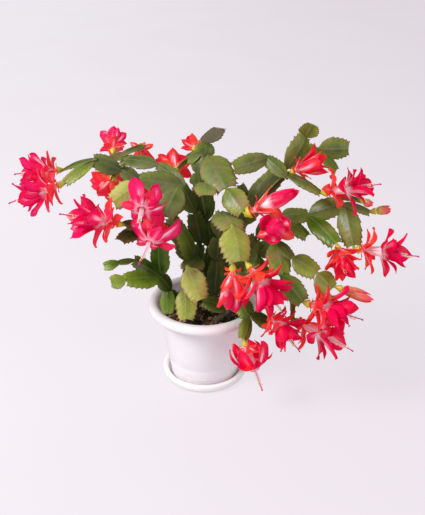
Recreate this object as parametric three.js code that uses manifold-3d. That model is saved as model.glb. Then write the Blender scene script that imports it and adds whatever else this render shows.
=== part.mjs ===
// Potted christmas cactus: a flowering leaf-segment cactus in a white plastic pot with its saucer.
// Units are millimetres. +Z is up, the front looks along -Y, and +X is to the right.
// The origin is the middle of the saucer's underside, on the surface that it stands on.
import * as THREE from "three";
import { mergeVertices } from "three/addons/utils/BufferGeometryUtils.js";
import Module from "manifold-3d";

const wasm = await Module();
wasm.setup();

// ---- driving dimensions -------------------------------------------------------------------
const GAP = 0.3; // between pieces that rest on each other
const ROUND_STEPS = 32; // steps round the pot and the saucer

const SAUCER_FLOOR = 2.5;
const SAUCER_FLOOR_RADIUS = 42.5;
const SAUCER_RADIUS = 50.5;
const SAUCER_HEIGHT = 11.0;

const POT_BOTTOM = SAUCER_FLOOR + GAP;
const POT_FOOT_RADIUS = 40.0;
const POT_NECK_RADIUS = 50.0;
const POT_NECK_HEIGHT = 86.5;
const POT_HEIGHT = 100.0;
const POT_WALL = 2.4;
const POT_FLOOR = 3.0;
const RIM_RADIUS = 59.0; // middle of the rolled rim
const RIM_ROLL = 6.0; // radius of the roll
const RIM_MIDDLE = POT_HEIGHT - RIM_ROLL;
const DRAIN_HOLE_RADIUS = 4.0;
const DRAIN_CIRCLE_RADIUS = 20.0;
const DRAIN_HOLES = 4;

const SOIL_TOP = 88.0;
const SOIL_BUMP = 1.6;
const TRUNK_RADIUS = 3.4;
const TRUNK_FOOT = 66.0; // how deep the stems stand in the soil
const TRUNK_TOP = 112.0; // where the first leaf segments begin
const TRUNK_SIDES = 6;

const BLADE_EDGE = 0.9; // thickness at the margin
const BLADE_RIB = 2.8; // thickness along the midrib
const BLADE_BOW = 0.06; // how far a segment arches, as a share of its length
const NECK_SUNK = 2.6; // how far a branch is sunk in what it grows from
const NECK_HALF = 2.2;
const COLLAR_BELOW = 0.6; // an ovary or a segment that turns off more sharply starts with a collar
const STRAIGHT_ABOVE = 0.72; // how straight a run goes on, as the cosine of the bend
const OUTWARD_LEAN = 0.35; // how far the faces lean away from the middle of the plant
const PLANT_MIDDLE_Y = 30.0;

const OVARY_LENGTH = 7.0;
const FULL_BLOOM = 56.0; // a shorter bloom has narrower petals
const PETAL_THICKNESS = 0.8;
const PETAL_ROOT = 1.0; // height of the band that a ring of petals grows out of
const STYLE_RADIUS = 1.1;
const BUD_BEYOND = 7.0; // how far a bud reaches past its mouth
const BUD_GIRTH = 3.2; // radius of a bud, with a share of its length added
const BUD_SWELL = 0.05;

// ---- the plant ----------------------------------------------------------------------------
// Each stem stands at a root [x, y] in the soil. Each leaf segment is
// [name, the segment it grows from, tip x, y, z, width, turn of its face to the front in degrees].
const STEMS = {
  arch_stem: [[-10, 10], [
    ["h1", "root", -4, -2, 172, 18, 0],
    ["h2", "h1", -10, -12, 213, 22, 20],
    ["h3", "h2", -24, -14, 245, 22, 0],
    ["a1", "h3", -49, 12, 258, 16, 30],
    ["a2", "a1", -90, 25, 260, 22, 15],
    ["a3", "a2", -103, 60, 254, 22, 0],
    ["a4", "a2", -73, 58, 265, 26, 0],
    ["b1", "h3", -66, -25, 255, 26, 40],
    ["b2", "b1", -84, -24, 266, 17, 30],
    ["b3", "b2", -111, -28, 278, 22, 35],
    ["b4", "b3", -144, -18, 264, 16, -5],
    ["b5", "b3", -137, -48, 261, 18, 15],
    ["b6", "b1", -91, -48, 240, 26, 50],
    ["b7", "b2", -96, 12, 246, 20, 10],
    ["c1", "h3", -41, -44, 224, 30, 30],
  ]],
  centre_stem: [[6, 2], [
    ["e1", "root", 9, 2, 165, 20, 0],
    ["e2", "e1", 3, 2, 197, 23, 20],
    ["e3", "e2", -4, 4, 239, 25, 20],
    ["e4", "e3", -6, 22, 246, 22, 0],
    ["e5", "e4", 0, 26, 263, 24, 20],
    ["e6", "e5", 3, 34, 276, 23, 0],
    ["e7", "e6", 16, 26, 295, 28, 0],
    ["e8", "e5", -17, 38, 257, 20, 30],
    ["e9", "e8", -28, 40, 245, 16, -20],
    ["e10", "e8", -9, 52, 261, 16, 0],
    ["d1", "e3", 3, -36, 243, 26, 0],
    ["g1", "e5", 24, -18, 243, 36, 25],
    ["g2", "g1", 41, -42, 227, 27, 32],
  ]],
  front_stem: [[10, -16], [
    ["f1", "root", 14, -15, 158, 20, 0],
    ["f2", "f1", 16, -18, 187, 22, 0],
    ["f3", "f2", 21, -24, 218, 24, 0],
    ["k1", "f3", 30, -64, 218, 34, 0],
    ["k2", "k1", 36, -84, 191, 36, 10],
  ]],
  right_top_stem: [[22, 14], [
    ["r1", "root", 28, 16, 158, 20, 0],
    ["r2", "r1", 40, 20, 186, 24, 20],
    ["r3", "r2", 60, 20, 215, 26, 30],
    ["r4", "r3", 89, 18, 252, 24, 25],
    ["r5", "r4", 110, 34, 283, 26, 50],
    ["r6", "r5", 115, 22, 300, 22, 0],
    ["r7", "r4", 128, 58, 261, 24, 40],
    ["r8", "r7", 164, 62, 260, 26, 80],
    ["r9", "r7", 150, 50, 238, 24, 20],
    ["r13", "r3", 87, 0, 252, 18, 20],
    ["r10", "r13", 122, -22, 240, 17, 10],
    ["r11", "r13", 67, 10, 267, 18, 45],
    ["r12", "r11", 31, -8, 262, 21, 45],
  ]],
  right_mid_stem: [[30, -6], [
    ["m1", "root", 41, -6, 158, 22, 0],
    ["m2", "m1", 57, -8, 182, 24, 20],
    ["m3", "m2", 83, -8, 207, 26, 20],
    ["m11", "m2", 77, -34, 204, 16, 20],
    ["m4", "m3", 113, -6, 209, 24, 20],
    ["m5", "m4", 149, -10, 223, 24, 50],
    ["m6", "m5", 176, -16, 216, 17, 10],
    ["m7", "m5", 157, -42, 188, 25, 45],
    ["m8", "m4", 138, -46, 193, 23, 30],
    ["m9", "m5", 169, 18, 217, 16, 0],
    ["m10", "m3", 111, -26, 192, 24, 10],
  ]],
  right_low_stem: [[28, -24], [
    ["q1", "root", 44, -27, 150, 20, 0],
    ["q2", "q1", 58, -36, 175, 24, 10],
    ["q3", "q2", 74, -38, 192, 24, 10],
    ["q4", "q3", 80, -70, 168, 30, 10],
    ["q10", "q3", 92, -54, 181, 16, 10],
    ["q5", "q10", 117, -66, 169, 24, 30],
    ["q6", "q5", 132, -74, 154, 26, 30],
    ["q7", "q4", 102, -84, 145, 24, 40],
    ["q8", "q4", 97, -54, 108, 20, 10],
    ["q9", "q2", 66, -74, 130, 22, 10],
  ]],
  front_low_stem: [[14, -34], [
    ["n1", "root", 39, -46, 125, 18, 0],
    ["n2", "n1", 48, -62, 114, 22, 10],
    ["n3", "n2", 42, -80, 97, 20, 40],
    ["n4", "n2", 74, -60, 103, 20, 10],
    ["n5", "root", -1, -34, 118, 22, 0],
  ]],
  left_low_stem: [[-30, -12], [
    ["l1", "root", -37, -24, 125, 15, 0],
    ["l2", "l1", -49, -28, 145, 20, 25],
    ["l3", "l2", -75, -35, 168, 19, 30],
    ["l4", "l3", -90, -41, 168, 13, 0],
    ["l5", "l4", -106, -44, 165, 14, 20],
    ["l6", "l2", -81, -64, 160, 24, 35],
    ["l7", "l6", -95, -72, 162, 17, 35],
    ["l8", "l2", -47, -36, 188, 23, 70],
    ["l9", "l1", -40, -38, 103, 18, 10],
  ]],
  front_left_stem: [[-8, -26], [
    ["o1", "root", -16, -27, 128, 17, 0],
    ["o2", "o1", -19, -50, 102, 25, 10],
    ["o3", "o1", -12, -27, 166, 22, 0],
    ["o4", "o3", -16, -50, 165, 26, 0],
    ["o5", "o4", -3, -62, 134, 28, 15],
    ["o6", "o3", -24, -38, 205, 28, 10],
  ]],
  left_mid_stem: [[-22, 2], [
    ["p1", "root", -17, -6, 153, 20, 0],
    ["p2", "p1", -24, -10, 186, 24, 10],
    ["p3", "p2", -62, -30, 208, 24, 10],
    ["p4", "p3", -57, -50, 250, 16, 20],
    ["p5", "p3", -80, -56, 219, 20, 20],
    ["p6", "p3", -84, -60, 203, 24, 10],
  ]],
  back_left_stem: [[-14, 28], [
    ["s1", "root", -22, 40, 145, 20, 0],
    ["s2", "s1", -40, 62, 175, 24, 10],
    ["s3", "s2", -64, 84, 196, 26, 10],
    ["s4", "s3", -98, 92, 200, 24, 10],
    ["s5", "s3", -66, 118, 190, 24, 10],
    ["s6", "s2", -28, 98, 188, 26, 0],
  ]],
  back_right_stem: [[12, 32], [
    ["t1", "root", 24, 44, 150, 20, 0],
    ["t2", "t1", 50, 52, 192, 24, 0],
    ["t3", "t2", 81, 64, 231, 24, 40],
    ["t5", "t1", 52, 96, 170, 24, 10],
    ["t6", "t2", 42, 64, 216, 22, 30],
  ]],
};

// Each bloom is [name, the segment it hangs on, mouth x, y, z, form, roll of its petals in degrees].
const BLOOMS = [
  ["bloom_01", "b4", -186, -28, 265, "forward", 0],
  ["bloom_02", "b5", -184, -64, 250, "forward", 30],
  ["bloom_03", "a3", -108, 96, 270, "cup", 10],
  ["bloom_04", "a4", -72, 88, 230, "half", 0],
  ["bloom_05", "b7", -115, 44, 218, "cup", 0],
  ["bloom_06", "p4", -59, -90, 246, "swept", 10],
  ["bloom_07", "c1", -56, -84, 206, "swept", 48],
  ["bloom_08", "p5", -131, -76, 240, "forward", 0],
  ["bloom_09", "e9", -39, 88, 229, "cup", 0],
  ["bloom_10", "e10", -18, 96, 262, "half", 0],
  ["bloom_11", "g2", 97, -44, 252, "half", 0],
  ["bloom_12", "k2", 32, -74, 128, "plump", 70],
  ["bloom_13", "k2", 78, -108, 150, "forward", 30],
  ["bloom_14", "q9", 96, -100, 102, "forward", 0],
  ["bloom_15", "n3", 57, -94, 60, "swept", 0],
  ["bloom_16", "r13", 130, -6, 273, "fan", 20],
  ["bloom_17", "r10", 170, -40, 257, "loose", 0],
  ["bloom_18", "m11", 69, -82, 229, "ball", 0],
  ["bloom_19", "m8", 146, -80, 171, "bell", 0],
  ["bloom_20", "m7", 211, -62, 189, "loose", 0],
  ["bloom_21", "q7", 154, -100, 138, "forward", 30],
  ["bloom_22", "q8", 148, -90, 96, "loose", 0],
  ["bloom_23", "q6", 129, -42, 96, "half", 40],
  ["bud_1", "m9", 180, 16, 213, "bud", 0],
  ["bud_2", "m6", 191, -18, 219, "bud", 0],
  ["bud_3", "q6", 168, -80, 148, "bud", 0],
];

// The forms of a bloom. Outer petals stand out of a band near the ovary and inner ones out of
// the throat, two kinds by turns: [length, half width, angle from the axis at the root and at
// the tip in degrees]. Lengths and places are shares of the bloom's length. `lean` is how much
// further the upper petals open than the lower ones, in degrees, and a `haste` below 1 bends
// the inner petals near their roots. The stations of a petal are [share of its length, share
// of its half width], and it ends in a point.
const SHORT_PETAL = [[0.5, 1]];
const LONG_PETAL = [[0.4, 0.82], [0.75, 0.96]];
const FOLDED_PETAL = [[0.36, 1], [0.7, 0.8]];
const FORMS = {
  loose: {
    outerBand: 0.2, outer: [[0.36, 6.0, 80, 108], [0.46, 6.6, 54, 80]],
    throat: 0.5, inner: [[0.46, 7.0, 68, 92], [0.52, 6.4, 12, 36]], stations: LONG_PETAL,
    lean: 14, haste: 1, style: 1.16,
  },
  forward: {
    outerBand: 0.2, outer: [[0.34, 6.0, 82, 112], [0.44, 6.6, 54, 82]],
    throat: 0.42, inner: [[0.56, 6.4, 54, 30], [0.6, 5.6, 9, 22]], stations: LONG_PETAL,
    lean: 10, haste: 1, style: 1.14,
  },
  cup: {
    outerBand: 0.2, outer: [[0.34, 5.6, 78, 106], [0.46, 6.4, 50, 76]],
    throat: 0.42, inner: [[0.58, 6.2, 56, 8], [0.6, 6.2, 32, 12]], stations: LONG_PETAL,
    lean: 6, haste: 1, style: 0.9,
  },
  bell: {
    outerBand: 0.2, outer: [[0.48, 5.6, 70, 44], [0.54, 6.0, 50, 30]],
    throat: 0.42, inner: [[0.54, 6.0, 36, 14], [0.58, 6.0, 18, 4]], stations: LONG_PETAL,
    lean: 4, haste: 1, style: 0.9,
  },
  ball: {
    outerBand: 0.2, outer: [[0.28, 4.6, 80, 118], [0.4, 5.4, 64, 100]],
    throat: 0.46, inner: [[0.56, 7.4, 78, -14], [0.54, 7.2, 48, -40]], stations: LONG_PETAL,
    lean: 0, haste: 1, style: 0.8,
  },
  swept: {
    outerBand: 0.2, outer: [[0.2, 3.6, 66, 84], [0.28, 4.2, 50, 62]],
    throat: 0.8, inner: [[0.74, 6.8, 120, 172], [0.82, 7.2, 96, 163]], stations: LONG_PETAL,
    lean: 0, haste: 0.4, style: 1.42,
  },
  half: {
    outerBand: 0.2, outer: [[0.3, 3.2, 58, 80], [0.42, 4.0, 34, 28]],
    throat: 0.32, inner: [[0.6, 3.1, 16, -20], [0.64, 3.1, 16, -20]], stations: FOLDED_PETAL,
    lean: 0, haste: 1, style: 0.7,
  },
  plump: {
    outerBand: 0.2, outer: [[0.24, 3.6, 56, 50], [0.34, 4.0, 38, 22]],
    throat: 0.34, inner: [[0.58, 5.6, 54, -34], [0.62, 4.6, 26, -20]], stations: FOLDED_PETAL,
    lean: 0, haste: 1, style: 0.7,
  },
  fan: {
    outerBand: 0.18, outer: [[0.22, 2.4, 64, 84], [0.32, 3.0, 46, 50]],
    throat: 0.3, inner: [[0.66, 5.4, 36, 20], [0.68, 5.0, 9, 4]], stations: LONG_PETAL,
    lean: 6, haste: 1, style: 0.6,
  },
};

// ---- solids -------------------------------------------------------------------------------
// A closed solid from points and triangles, turned so that its faces point out.
function solidOf(points, faces) {
  let volume = 0;
  for (const [a, b, c] of faces) {
    volume += points[a].dot(points[b].clone().cross(points[c]));
  }
  const vertProperties = new Float32Array(points.length * 3);
  points.forEach((p, i) => p.toArray(vertProperties, i * 3));
  const triVerts = new Uint32Array(faces.length * 3);
  faces.forEach(([a, b, c], i) => triVerts.set(volume > 0 ? [a, b, c] : [a, c, b], i * 3));
  return new wasm.Manifold(new wasm.Mesh({ numProp: 3, vertProperties, triVerts }));
}

// A solid from a closed three.js geometry.
function solidOfGeometry(geometry) {
  geometry.deleteAttribute("normal");
  geometry.deleteAttribute("uv");
  const merged = mergeVertices(geometry, 1e-4);
  const position = merged.attributes.position;
  const points = [];
  for (let i = 0; i < position.count; i += 1) {
    points.push(new THREE.Vector3().fromBufferAttribute(position, i));
  }
  const faces = [];
  for (let i = 0; i < merged.index.count; i += 3) {
    const face = [merged.index.getX(i), merged.index.getX(i + 1), merged.index.getX(i + 2)];
    if (new Set(face).size === 3) faces.push(face);
  }
  return solidOf(points, faces);
}

function geometryOf(solid) {
  const mesh = solid.getMesh();
  const geometry = new THREE.BufferGeometry();
  geometry.setAttribute("position", new THREE.BufferAttribute(mesh.vertProperties, 3));
  geometry.setIndex(new THREE.BufferAttribute(mesh.triVerts, 1));
  geometry.computeVertexNormals();
  return geometry;
}

function joined(solids) {
  return solids.reduce((whole, next) => whole.add(next));
}

// A skin through rings of points, closed with a flat cap at each end, or drawn to a tip.
function loft(rings, tip) {
  const n = rings[0].length;
  const points = rings.flat();
  const faces = [];
  for (let k = 0; k + 1 < rings.length; k += 1) {
    for (let i = 0; i < n; i += 1) {
      const a = k * n + i;
      const b = k * n + ((i + 1) % n);
      faces.push([a, b, b + n], [a, b + n, a + n]);
    }
  }
  const last = (rings.length - 1) * n;
  for (let i = 1; i + 1 < n; i += 1) faces.push([0, i + 1, i]);
  if (tip) {
    points.push(tip);
    for (let i = 0; i < n; i += 1) faces.push([last + i, last + ((i + 1) % n), points.length - 1]);
  } else {
    for (let i = 1; i + 1 < n; i += 1) faces.push([last, last + i, last + i + 1]);
  }
  return solidOf(points, faces);
}

function along(p, ...moves) {
  const point = p.clone();
  for (let i = 0; i < moves.length; i += 2) point.addScaledVector(moves[i], moves[i + 1]);
  return point;
}

// Two directions square to an axis.
function sidesOf(axis) {
  const helper = Math.abs(axis.z) < 0.9 ? new THREE.Vector3(0, 0, 1) : new THREE.Vector3(1, 0, 0);
  const e = new THREE.Vector3().crossVectors(helper, axis).normalize();
  return [e, new THREE.Vector3().crossVectors(axis, e)];
}

function ring(middle, axis, radius, sides) {
  const [e, g] = sidesOf(axis);
  const points = [];
  for (let i = 0; i < sides; i += 1) {
    const t = (i * 2 * Math.PI) / sides;
    points.push(along(middle, e, radius * Math.cos(t), g, radius * Math.sin(t)));
  }
  return points;
}

// ---- leaf segments ------------------------------------------------------------------------
// How a segment lies: along it, across it, and out of its upper face.
function lieOf(p, q, turn) {
  const length = new THREE.Vector3().subVectors(q, p);
  const d = length.clone().normalize();
  const outward = new THREE.Vector3((p.x + q.x) / 2, (p.y + q.y) / 2 - PLANT_MIDDLE_Y, 0);
  outward.normalize();
  const up = new THREE.Vector3(0, 0, 1).addScaledVector(outward, OUTWARD_LEAN);
  const n = up.addScaledVector(d, -up.dot(d)).normalize();
  const s = new THREE.Vector3().crossVectors(d, n);
  if (s.y > 0.3 || (Math.abs(s.y) <= 0.3 && s.x < 0)) s.negate();
  const t = THREE.MathUtils.degToRad(turn);
  const face = n.multiplyScalar(Math.cos(t)).addScaledVector(s, Math.sin(t));
  const side = new THREE.Vector3().crossVectors(face, d).normalize();
  return { d, side, face, length: length.length() };
}

// The margin from the neck to the horn: share of the length, share of the half width.
// A broad segment has two teeth on each side, a slim one has one.
const BROAD_FROM = 22;
const BROAD_MARGIN = [[0.23, 0.74], [0.43, 1], [0.47, 0.85], [0.73, 0.96], [0.77, 0.78], [1.03, 0.58]];
const BROAD_RIB = [0.2, 0.6];
const SLIM_MARGIN = [[0.27, 0.78], [0.57, 1], [0.62, 0.82], [1.03, 0.62]];
const SLIM_RIB = [0.34];
const SEAT = 0.26; // half width of the middle seat at the end of a segment

// A body grows as one skin: each new piece starts on a seat, four corners of what carries it.
// A seat is { a, b, d }: two pairs of corners, each { t, u } on the upper and the under face,
// and the direction that it looks in.
class Skin {
  constructor() {
    this.points = [];
    this.faces = [];
  }

  point(p) {
    this.points.push(p);
    return this.points.length - 1;
  }

  pair(middle, face, half) {
    return { t: this.point(along(middle, face, half)), u: this.point(along(middle, face, -half)) };
  }

  both(a, b, c) {
    this.faces.push([a.t, b.t, c.t], [a.u, c.u, b.u]);
  }

  wall(a, b) {
    this.faces.push([a.t, b.t, b.u], [a.t, b.u, a.u]);
  }

  middleOf(seat) {
    const sum = new THREE.Vector3();
    for (const i of [seat.a.t, seat.a.u, seat.b.t, seat.b.u]) sum.add(this.points[i]);
    return sum.multiplyScalar(0.25);
  }

  // The seat turned half a turn where that lies nearer to the new piece's sides.
  facing(seat, side) {
    const across = new THREE.Vector3().subVectors(this.points[seat.b.t], this.points[seat.a.t]);
    if (across.dot(side) >= 0) return seat;
    return { a: { t: seat.b.u, u: seat.b.t }, b: { t: seat.a.u, u: seat.a.t }, d: seat.d };
  }

  // A collar from a seat to four new corners.
  collar(seat, middle, side, face, halfWidth, half, d) {
    const a = this.pair(along(middle, side, -halfWidth), face, half);
    const b = this.pair(along(middle, side, halfWidth), face, half);
    const from = [seat.a.t, seat.b.t, seat.b.u, seat.a.u];
    const to = [a.t, b.t, b.u, a.u];
    for (let k = 0; k < 4; k += 1) {
      const m = (k + 1) % 4;
      this.faces.push([from[k], from[m], to[m]], [from[k], to[m], to[k]]);
    }
    return { a, b, d };
  }

  // A neck that stands by itself, to be sunk in the end of another segment.
  neck(from, to, turn) {
    const { d, side, face } = lieOf(from, to, turn);
    const foot = along(from, d, -NECK_SUNK);
    const a = this.pair(along(foot, side, -NECK_HALF), face, BLADE_EDGE / 2);
    const b = this.pair(along(foot, side, NECK_HALF), face, BLADE_EDGE / 2);
    this.wall(b, a);
    return { a, b, d };
  }

  // A leaf segment from a seat to its tip. It returns its three seats.
  blade(seat, to, width, turn) {
    const from = this.middleOf(seat);
    const { d, side, face, length } = lieOf(from, to, turn);
    let base = this.facing(seat, side);
    if (base.d.dot(d) < COLLAR_BELOW) {
      const bend = base.d.clone().add(d).normalize();
      const across = along(side, bend, -side.dot(bend)).normalize();
      const up = new THREE.Vector3().crossVectors(across, bend);
      if (up.dot(face) < 0) up.negate();
      base = this.collar(base, along(from, bend, 2.2), across, up, 2.3, 1.2, bend);
    }
    const broad = width >= BROAD_FROM;
    const place = (a, b, half) => {
      const lift = BLADE_BOW * length * 4 * a * (1 - a) - 0.1 * Math.abs(b) * b * b * width;
      return this.pair(along(from, d, length * a, side, (b * width) / 2, face, lift), face, half);
    };
    const margin = broad ? BROAD_MARGIN : SLIM_MARGIN;
    const left = [base.a, ...margin.map(([a, b]) => place(a, -b, BLADE_EDGE / 2))];
    const right = [base.b, ...margin.map(([a, b]) => place(a, b, BLADE_EDGE / 2))];
    const shares = [0, ...margin.map(([a]) => a)];
    const rib = (broad ? BROAD_RIB : SLIM_RIB).map((a) => place(a, 0, BLADE_RIB / 2));
    const ribShares = [...(broad ? BROAD_RIB : SLIM_RIB), 1];
    const c1 = place(1, -SEAT, BLADE_RIB * 0.45);
    const c2 = place(1, SEAT, BLADE_RIB * 0.45);
    const leftRib = [...rib, c1];
    const rightRib = [...rib, c2];
    this.both(left[0], right[0], rib[0]);
    this.both(rib[rib.length - 1], c2, c1);
    let j = 0;
    for (let i = 0; i + 1 < left.length; i += 1) {
      while (j + 1 < leftRib.length && ribShares[j + 1] < shares[i + 1]) {
        this.both(left[i], leftRib[j], leftRib[j + 1]);
        this.both(right[i], rightRib[j + 1], rightRib[j]);
        j += 1;
      }
      this.both(left[i], leftRib[j], left[i + 1]);
      this.both(right[i], right[i + 1], rightRib[j]);
      this.wall(left[i], left[i + 1]);
      this.wall(right[i + 1], right[i]);
    }
    const horns = [left[left.length - 1], right[right.length - 1]];
    const seats = [{ a: horns[0], b: c1, d }, { a: c1, b: c2, d }, { a: c2, b: horns[1], d }];
    return { seats, side, d };
  }

  // The green ovary under a bloom. It ends in a flat face, and it returns where it begins.
  ovary(seat, mouth) {
    let from = this.middleOf(seat);
    let base = seat;
    let axis = new THREE.Vector3().subVectors(mouth, from).normalize();
    const across = new THREE.Vector3().subVectors(this.points[seat.b.t], this.points[seat.a.t]);
    const upper = new THREE.Vector3().subVectors(this.points[seat.a.t], this.points[seat.a.u]);
    const frame = (d) => {
      const e = along(across, d, -across.dot(d)).normalize();
      const g = new THREE.Vector3().crossVectors(d, e);
      if (g.dot(upper) < 0) g.negate();
      return [e, g];
    };
    if (seat.d.dot(axis) < COLLAR_BELOW) {
      const bend = seat.d.clone().add(axis).normalize();
      from = along(from, seat.d, 2.4, bend, 1.0);
      axis = new THREE.Vector3().subVectors(mouth, from).normalize();
      base = this.collar(seat, from, ...frame(bend), 1.5, 1.2, bend);
      from = along(from, axis, -1.5);
    }
    const belly = this.collar(base, along(from, axis, OVARY_LENGTH * 0.5), ...frame(axis), 2.5, 2.5, axis);
    const end = this.collar(belly, along(from, axis, OVARY_LENGTH), ...frame(axis), 1.9, 1.9, axis);
    this.wall(end.a, end.b);
    return from;
  }

  // The woody foot of a stem, from the soil to where the leaf segments begin.
  // It returns its upper end and its six upper sides as seats.
  trunk(x, y, top) {
    const n = TRUNK_SIDES;
    const levels = [
      [x, y, TRUNK_FOOT, TRUNK_RADIUS],
      [x, y, SOIL_TOP + 4, TRUNK_RADIUS],
      [(x + top.x * 3) / 4, (y + top.y * 3) / 4, top.z - 5, TRUNK_RADIUS * 0.9],
      [top.x, top.y, top.z, TRUNK_RADIUS * 0.85],
    ];
    for (const [cx, cy, z, r] of levels) {
      for (let i = 0; i < n; i += 1) {
        const t = (i * 2 * Math.PI) / n;
        this.point(new THREE.Vector3(cx + r * Math.cos(t), cy - r * Math.sin(t), z));
      }
    }
    for (let i = 1; i + 1 < n; i += 1) this.faces.push([0, i + 1, i]);
    const sides = [];
    for (let k = 0; k < 3; k += 1) {
      for (let i = 0; i < n; i += 1) {
        const a = k * n + i;
        const b = k * n + ((i + 1) % n);
        const t = ((i + 0.5) * 2 * Math.PI) / n;
        const d = new THREE.Vector3(Math.cos(t), -Math.sin(t), 0);
        // the pairs of a side run across it, from one upright edge to the other
        if (k === 2) sides.push({ a: { t: a, u: a + n }, b: { t: b, u: b + n }, d });
        else this.faces.push([a, b, b + n], [a, b + n, a + n]);
      }
    }
    const h = 3 * n;
    this.faces.push([h + 1, h + 2, h + 3], [h + 4, h + 5, h]);
    const end = { a: { t: h + 1, u: h }, b: { t: h + 3, u: h + 4 }, d: new THREE.Vector3(0, 0, 1) };
    return { end, sides };
  }

  solid() {
    return solidOf(this.points, this.faces);
  }
}

// ---- blooms -------------------------------------------------------------------------------
// A bloom is a six-sided tube. Its petals grow out of the sides of two bands of it, outer ones
// near the ovary and inner ones at the throat, and the style grows out of its end.
function tubeSolid(start, axis, stations, sides) {
  return loft(stations.map(([s, r]) => ring(along(start, axis, s), axis, r, sides)));
}

function bloomSolid(tip, mouth, form, roll) {
  const axis = new THREE.Vector3().subVectors(mouth, tip);
  const length = axis.length();
  axis.normalize();
  const foot = OVARY_LENGTH + GAP;
  if (form === "bud") {
    const body = length - foot + BUD_BEYOND;
    const girth = BUD_GIRTH + body * BUD_SWELL;
    const start = along(tip, axis, foot);
    const stations = [[0, 2.0], [body * 0.3, girth], [body * 0.66, girth * 0.85]];
    return loft(stations.map(([s, r]) => ring(along(start, axis, s), axis, r, 6)), along(start, axis, body));
  }
  const shape = FORMS[form];
  const slender = Math.min(1, length / FULL_BLOOM);
  const n = 6;
  const outerBand = Math.max(foot + GAP, length * shape.outerBand);
  const bands = [
    [foot, 2.4],
    [outerBand, 3.0],
    [outerBand + PETAL_ROOT, 3.4],
    [length * shape.throat - PETAL_ROOT, 4.6],
    [length * shape.throat, 4.2],
  ];
  const [e0, g0] = sidesOf(axis);
  const turn = THREE.MathUtils.degToRad(roll);
  const e = e0.clone().multiplyScalar(Math.cos(turn)).addScaledVector(g0, Math.sin(turn));
  const g = new THREE.Vector3().crossVectors(axis, e);
  const outAt = (sides) => {
    const t = (sides * 2 * Math.PI) / n;
    return e.clone().multiplyScalar(Math.cos(t)).addScaledVector(g, Math.sin(t));
  };
  const points = [];
  const faces = [];
  for (const [s, r] of bands) {
    for (let i = 0; i < n; i += 1) points.push(along(tip, axis, s, outAt(i), r));
  }
  for (let i = 1; i + 1 < n; i += 1) faces.push([0, i + 1, i]);

  const growPetal = (root, band, sideIndex, petal, stations, haste) => {
    const [reach, half, rootAngle, tipAngle] = petal;
    const out = outAt(sideIndex + 0.5);
    const opening = tipAngle - rootAngle + shape.lean * out.z;
    const across = new THREE.Vector3().crossVectors(axis, out);
    const [[s0, r0], [s1, r1]] = [bands[band], bands[band + 1]];
    let up = (s0 + s1) / 2;
    let away = ((r0 + r1) / 2) * Math.cos(Math.PI / n);
    const steps = 40;
    let previous = root;
    for (let i = 1; i <= steps; i += 1) {
      const share = i / steps;
      const bent = (share - 0.5 / steps) ** haste;
      const angle = THREE.MathUtils.degToRad(rootAngle + opening * bent);
      up += (Math.cos(angle) * reach * length) / steps;
      away += (Math.sin(angle) * reach * length) / steps;
      const station = stations.find(([at]) => Math.abs(at - share) < 0.5 / steps);
      if (station) {
        const middle = along(tip, axis, up, out, away);
        const lift = axis.clone().multiplyScalar(-Math.sin(angle)).addScaledVector(out, Math.cos(angle));
        const w = half * slender * station[1];
        const t = PETAL_THICKNESS / 2;
        const first = points.length;
        points.push(
          along(middle, across, -w, lift, t),
          along(middle, across, w, lift, t),
          along(middle, across, w, lift, -t),
          along(middle, across, -w, lift, -t),
        );
        const next = [first, first + 1, first + 2, first + 3];
        for (let k = 0; k < 4; k += 1) {
          const m = (k + 1) % 4;
          faces.push([previous[k], previous[m], next[m]], [previous[k], next[m], next[k]]);
        }
        previous = next;
      }
    }
    points.push(along(tip, axis, up, out, away));
    for (let k = 0; k < 4; k += 1) faces.push([previous[k], previous[(k + 1) % 4], points.length - 1]);
  };

  for (let band = 0; band + 1 < bands.length; band += 1) {
    for (let i = 0; i < n; i += 1) {
      const a = band * n + i;
      const b = band * n + ((i + 1) % n);
      const root = [a, b, b + n, a + n];
      if (band === 1) growPetal(root, band, i, shape.outer[i % 2], SHORT_PETAL, 1);
      else if (band === 3) growPetal(root, band, i, shape.inner[i % 2], shape.stations, shape.haste);
      else faces.push([a, b, b + n], [a, b + n, a + n]);
    }
  }
  const end = (bands.length - 1) * n;
  const style = points.length;
  const root = length * shape.throat;
  for (const k of [0, 2, 4]) points.push(along(tip, axis, root, outAt(k), STYLE_RADIUS));
  points.push(along(tip, axis, length * shape.style));
  for (let k = 0; k < 3; k += 1) {
    const h = [end + 2 * k, end + 2 * k + 1, end + ((2 * k + 2) % n)];
    const t = [style + k, style + ((k + 1) % 3)];
    faces.push([h[0], h[1], t[0]], [h[1], h[2], t[1]], [h[1], t[1], t[0]], [t[0], t[1], style + 3]);
  }
  return solidOf(points, faces);
}

// ---- pot, saucer and soil -----------------------------------------------------------------
function turned(profile) {
  const points = profile.map(([r, z]) => new THREE.Vector2(r, z));
  const geometry = new THREE.LatheGeometry(points, ROUND_STEPS);
  geometry.rotateX(Math.PI / 2);
  return solidOfGeometry(geometry);
}

function uprightHole(x, y, radius, from, to, sides, spin) {
  const geometry = new THREE.CylinderGeometry(radius, radius, to - from, sides);
  geometry.rotateX(Math.PI / 2);
  geometry.rotateZ(spin);
  geometry.translate(x, y, (from + to) / 2);
  return solidOfGeometry(geometry);
}

const saucerProfile = [
  [0, 0],
  [44.0, 0],
  [47.6, 1.4],
  [49.8, 4.4],
  [SAUCER_RADIUS, 8.0],
  [49.8, 10.2],
  [47.4, SAUCER_HEIGHT],
  [44.0, 9.8],
  [SAUCER_FLOOR_RADIUS, SAUCER_FLOOR + 1.0],
  [41.6, SAUCER_FLOOR],
  [0, SAUCER_FLOOR],
];

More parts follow.
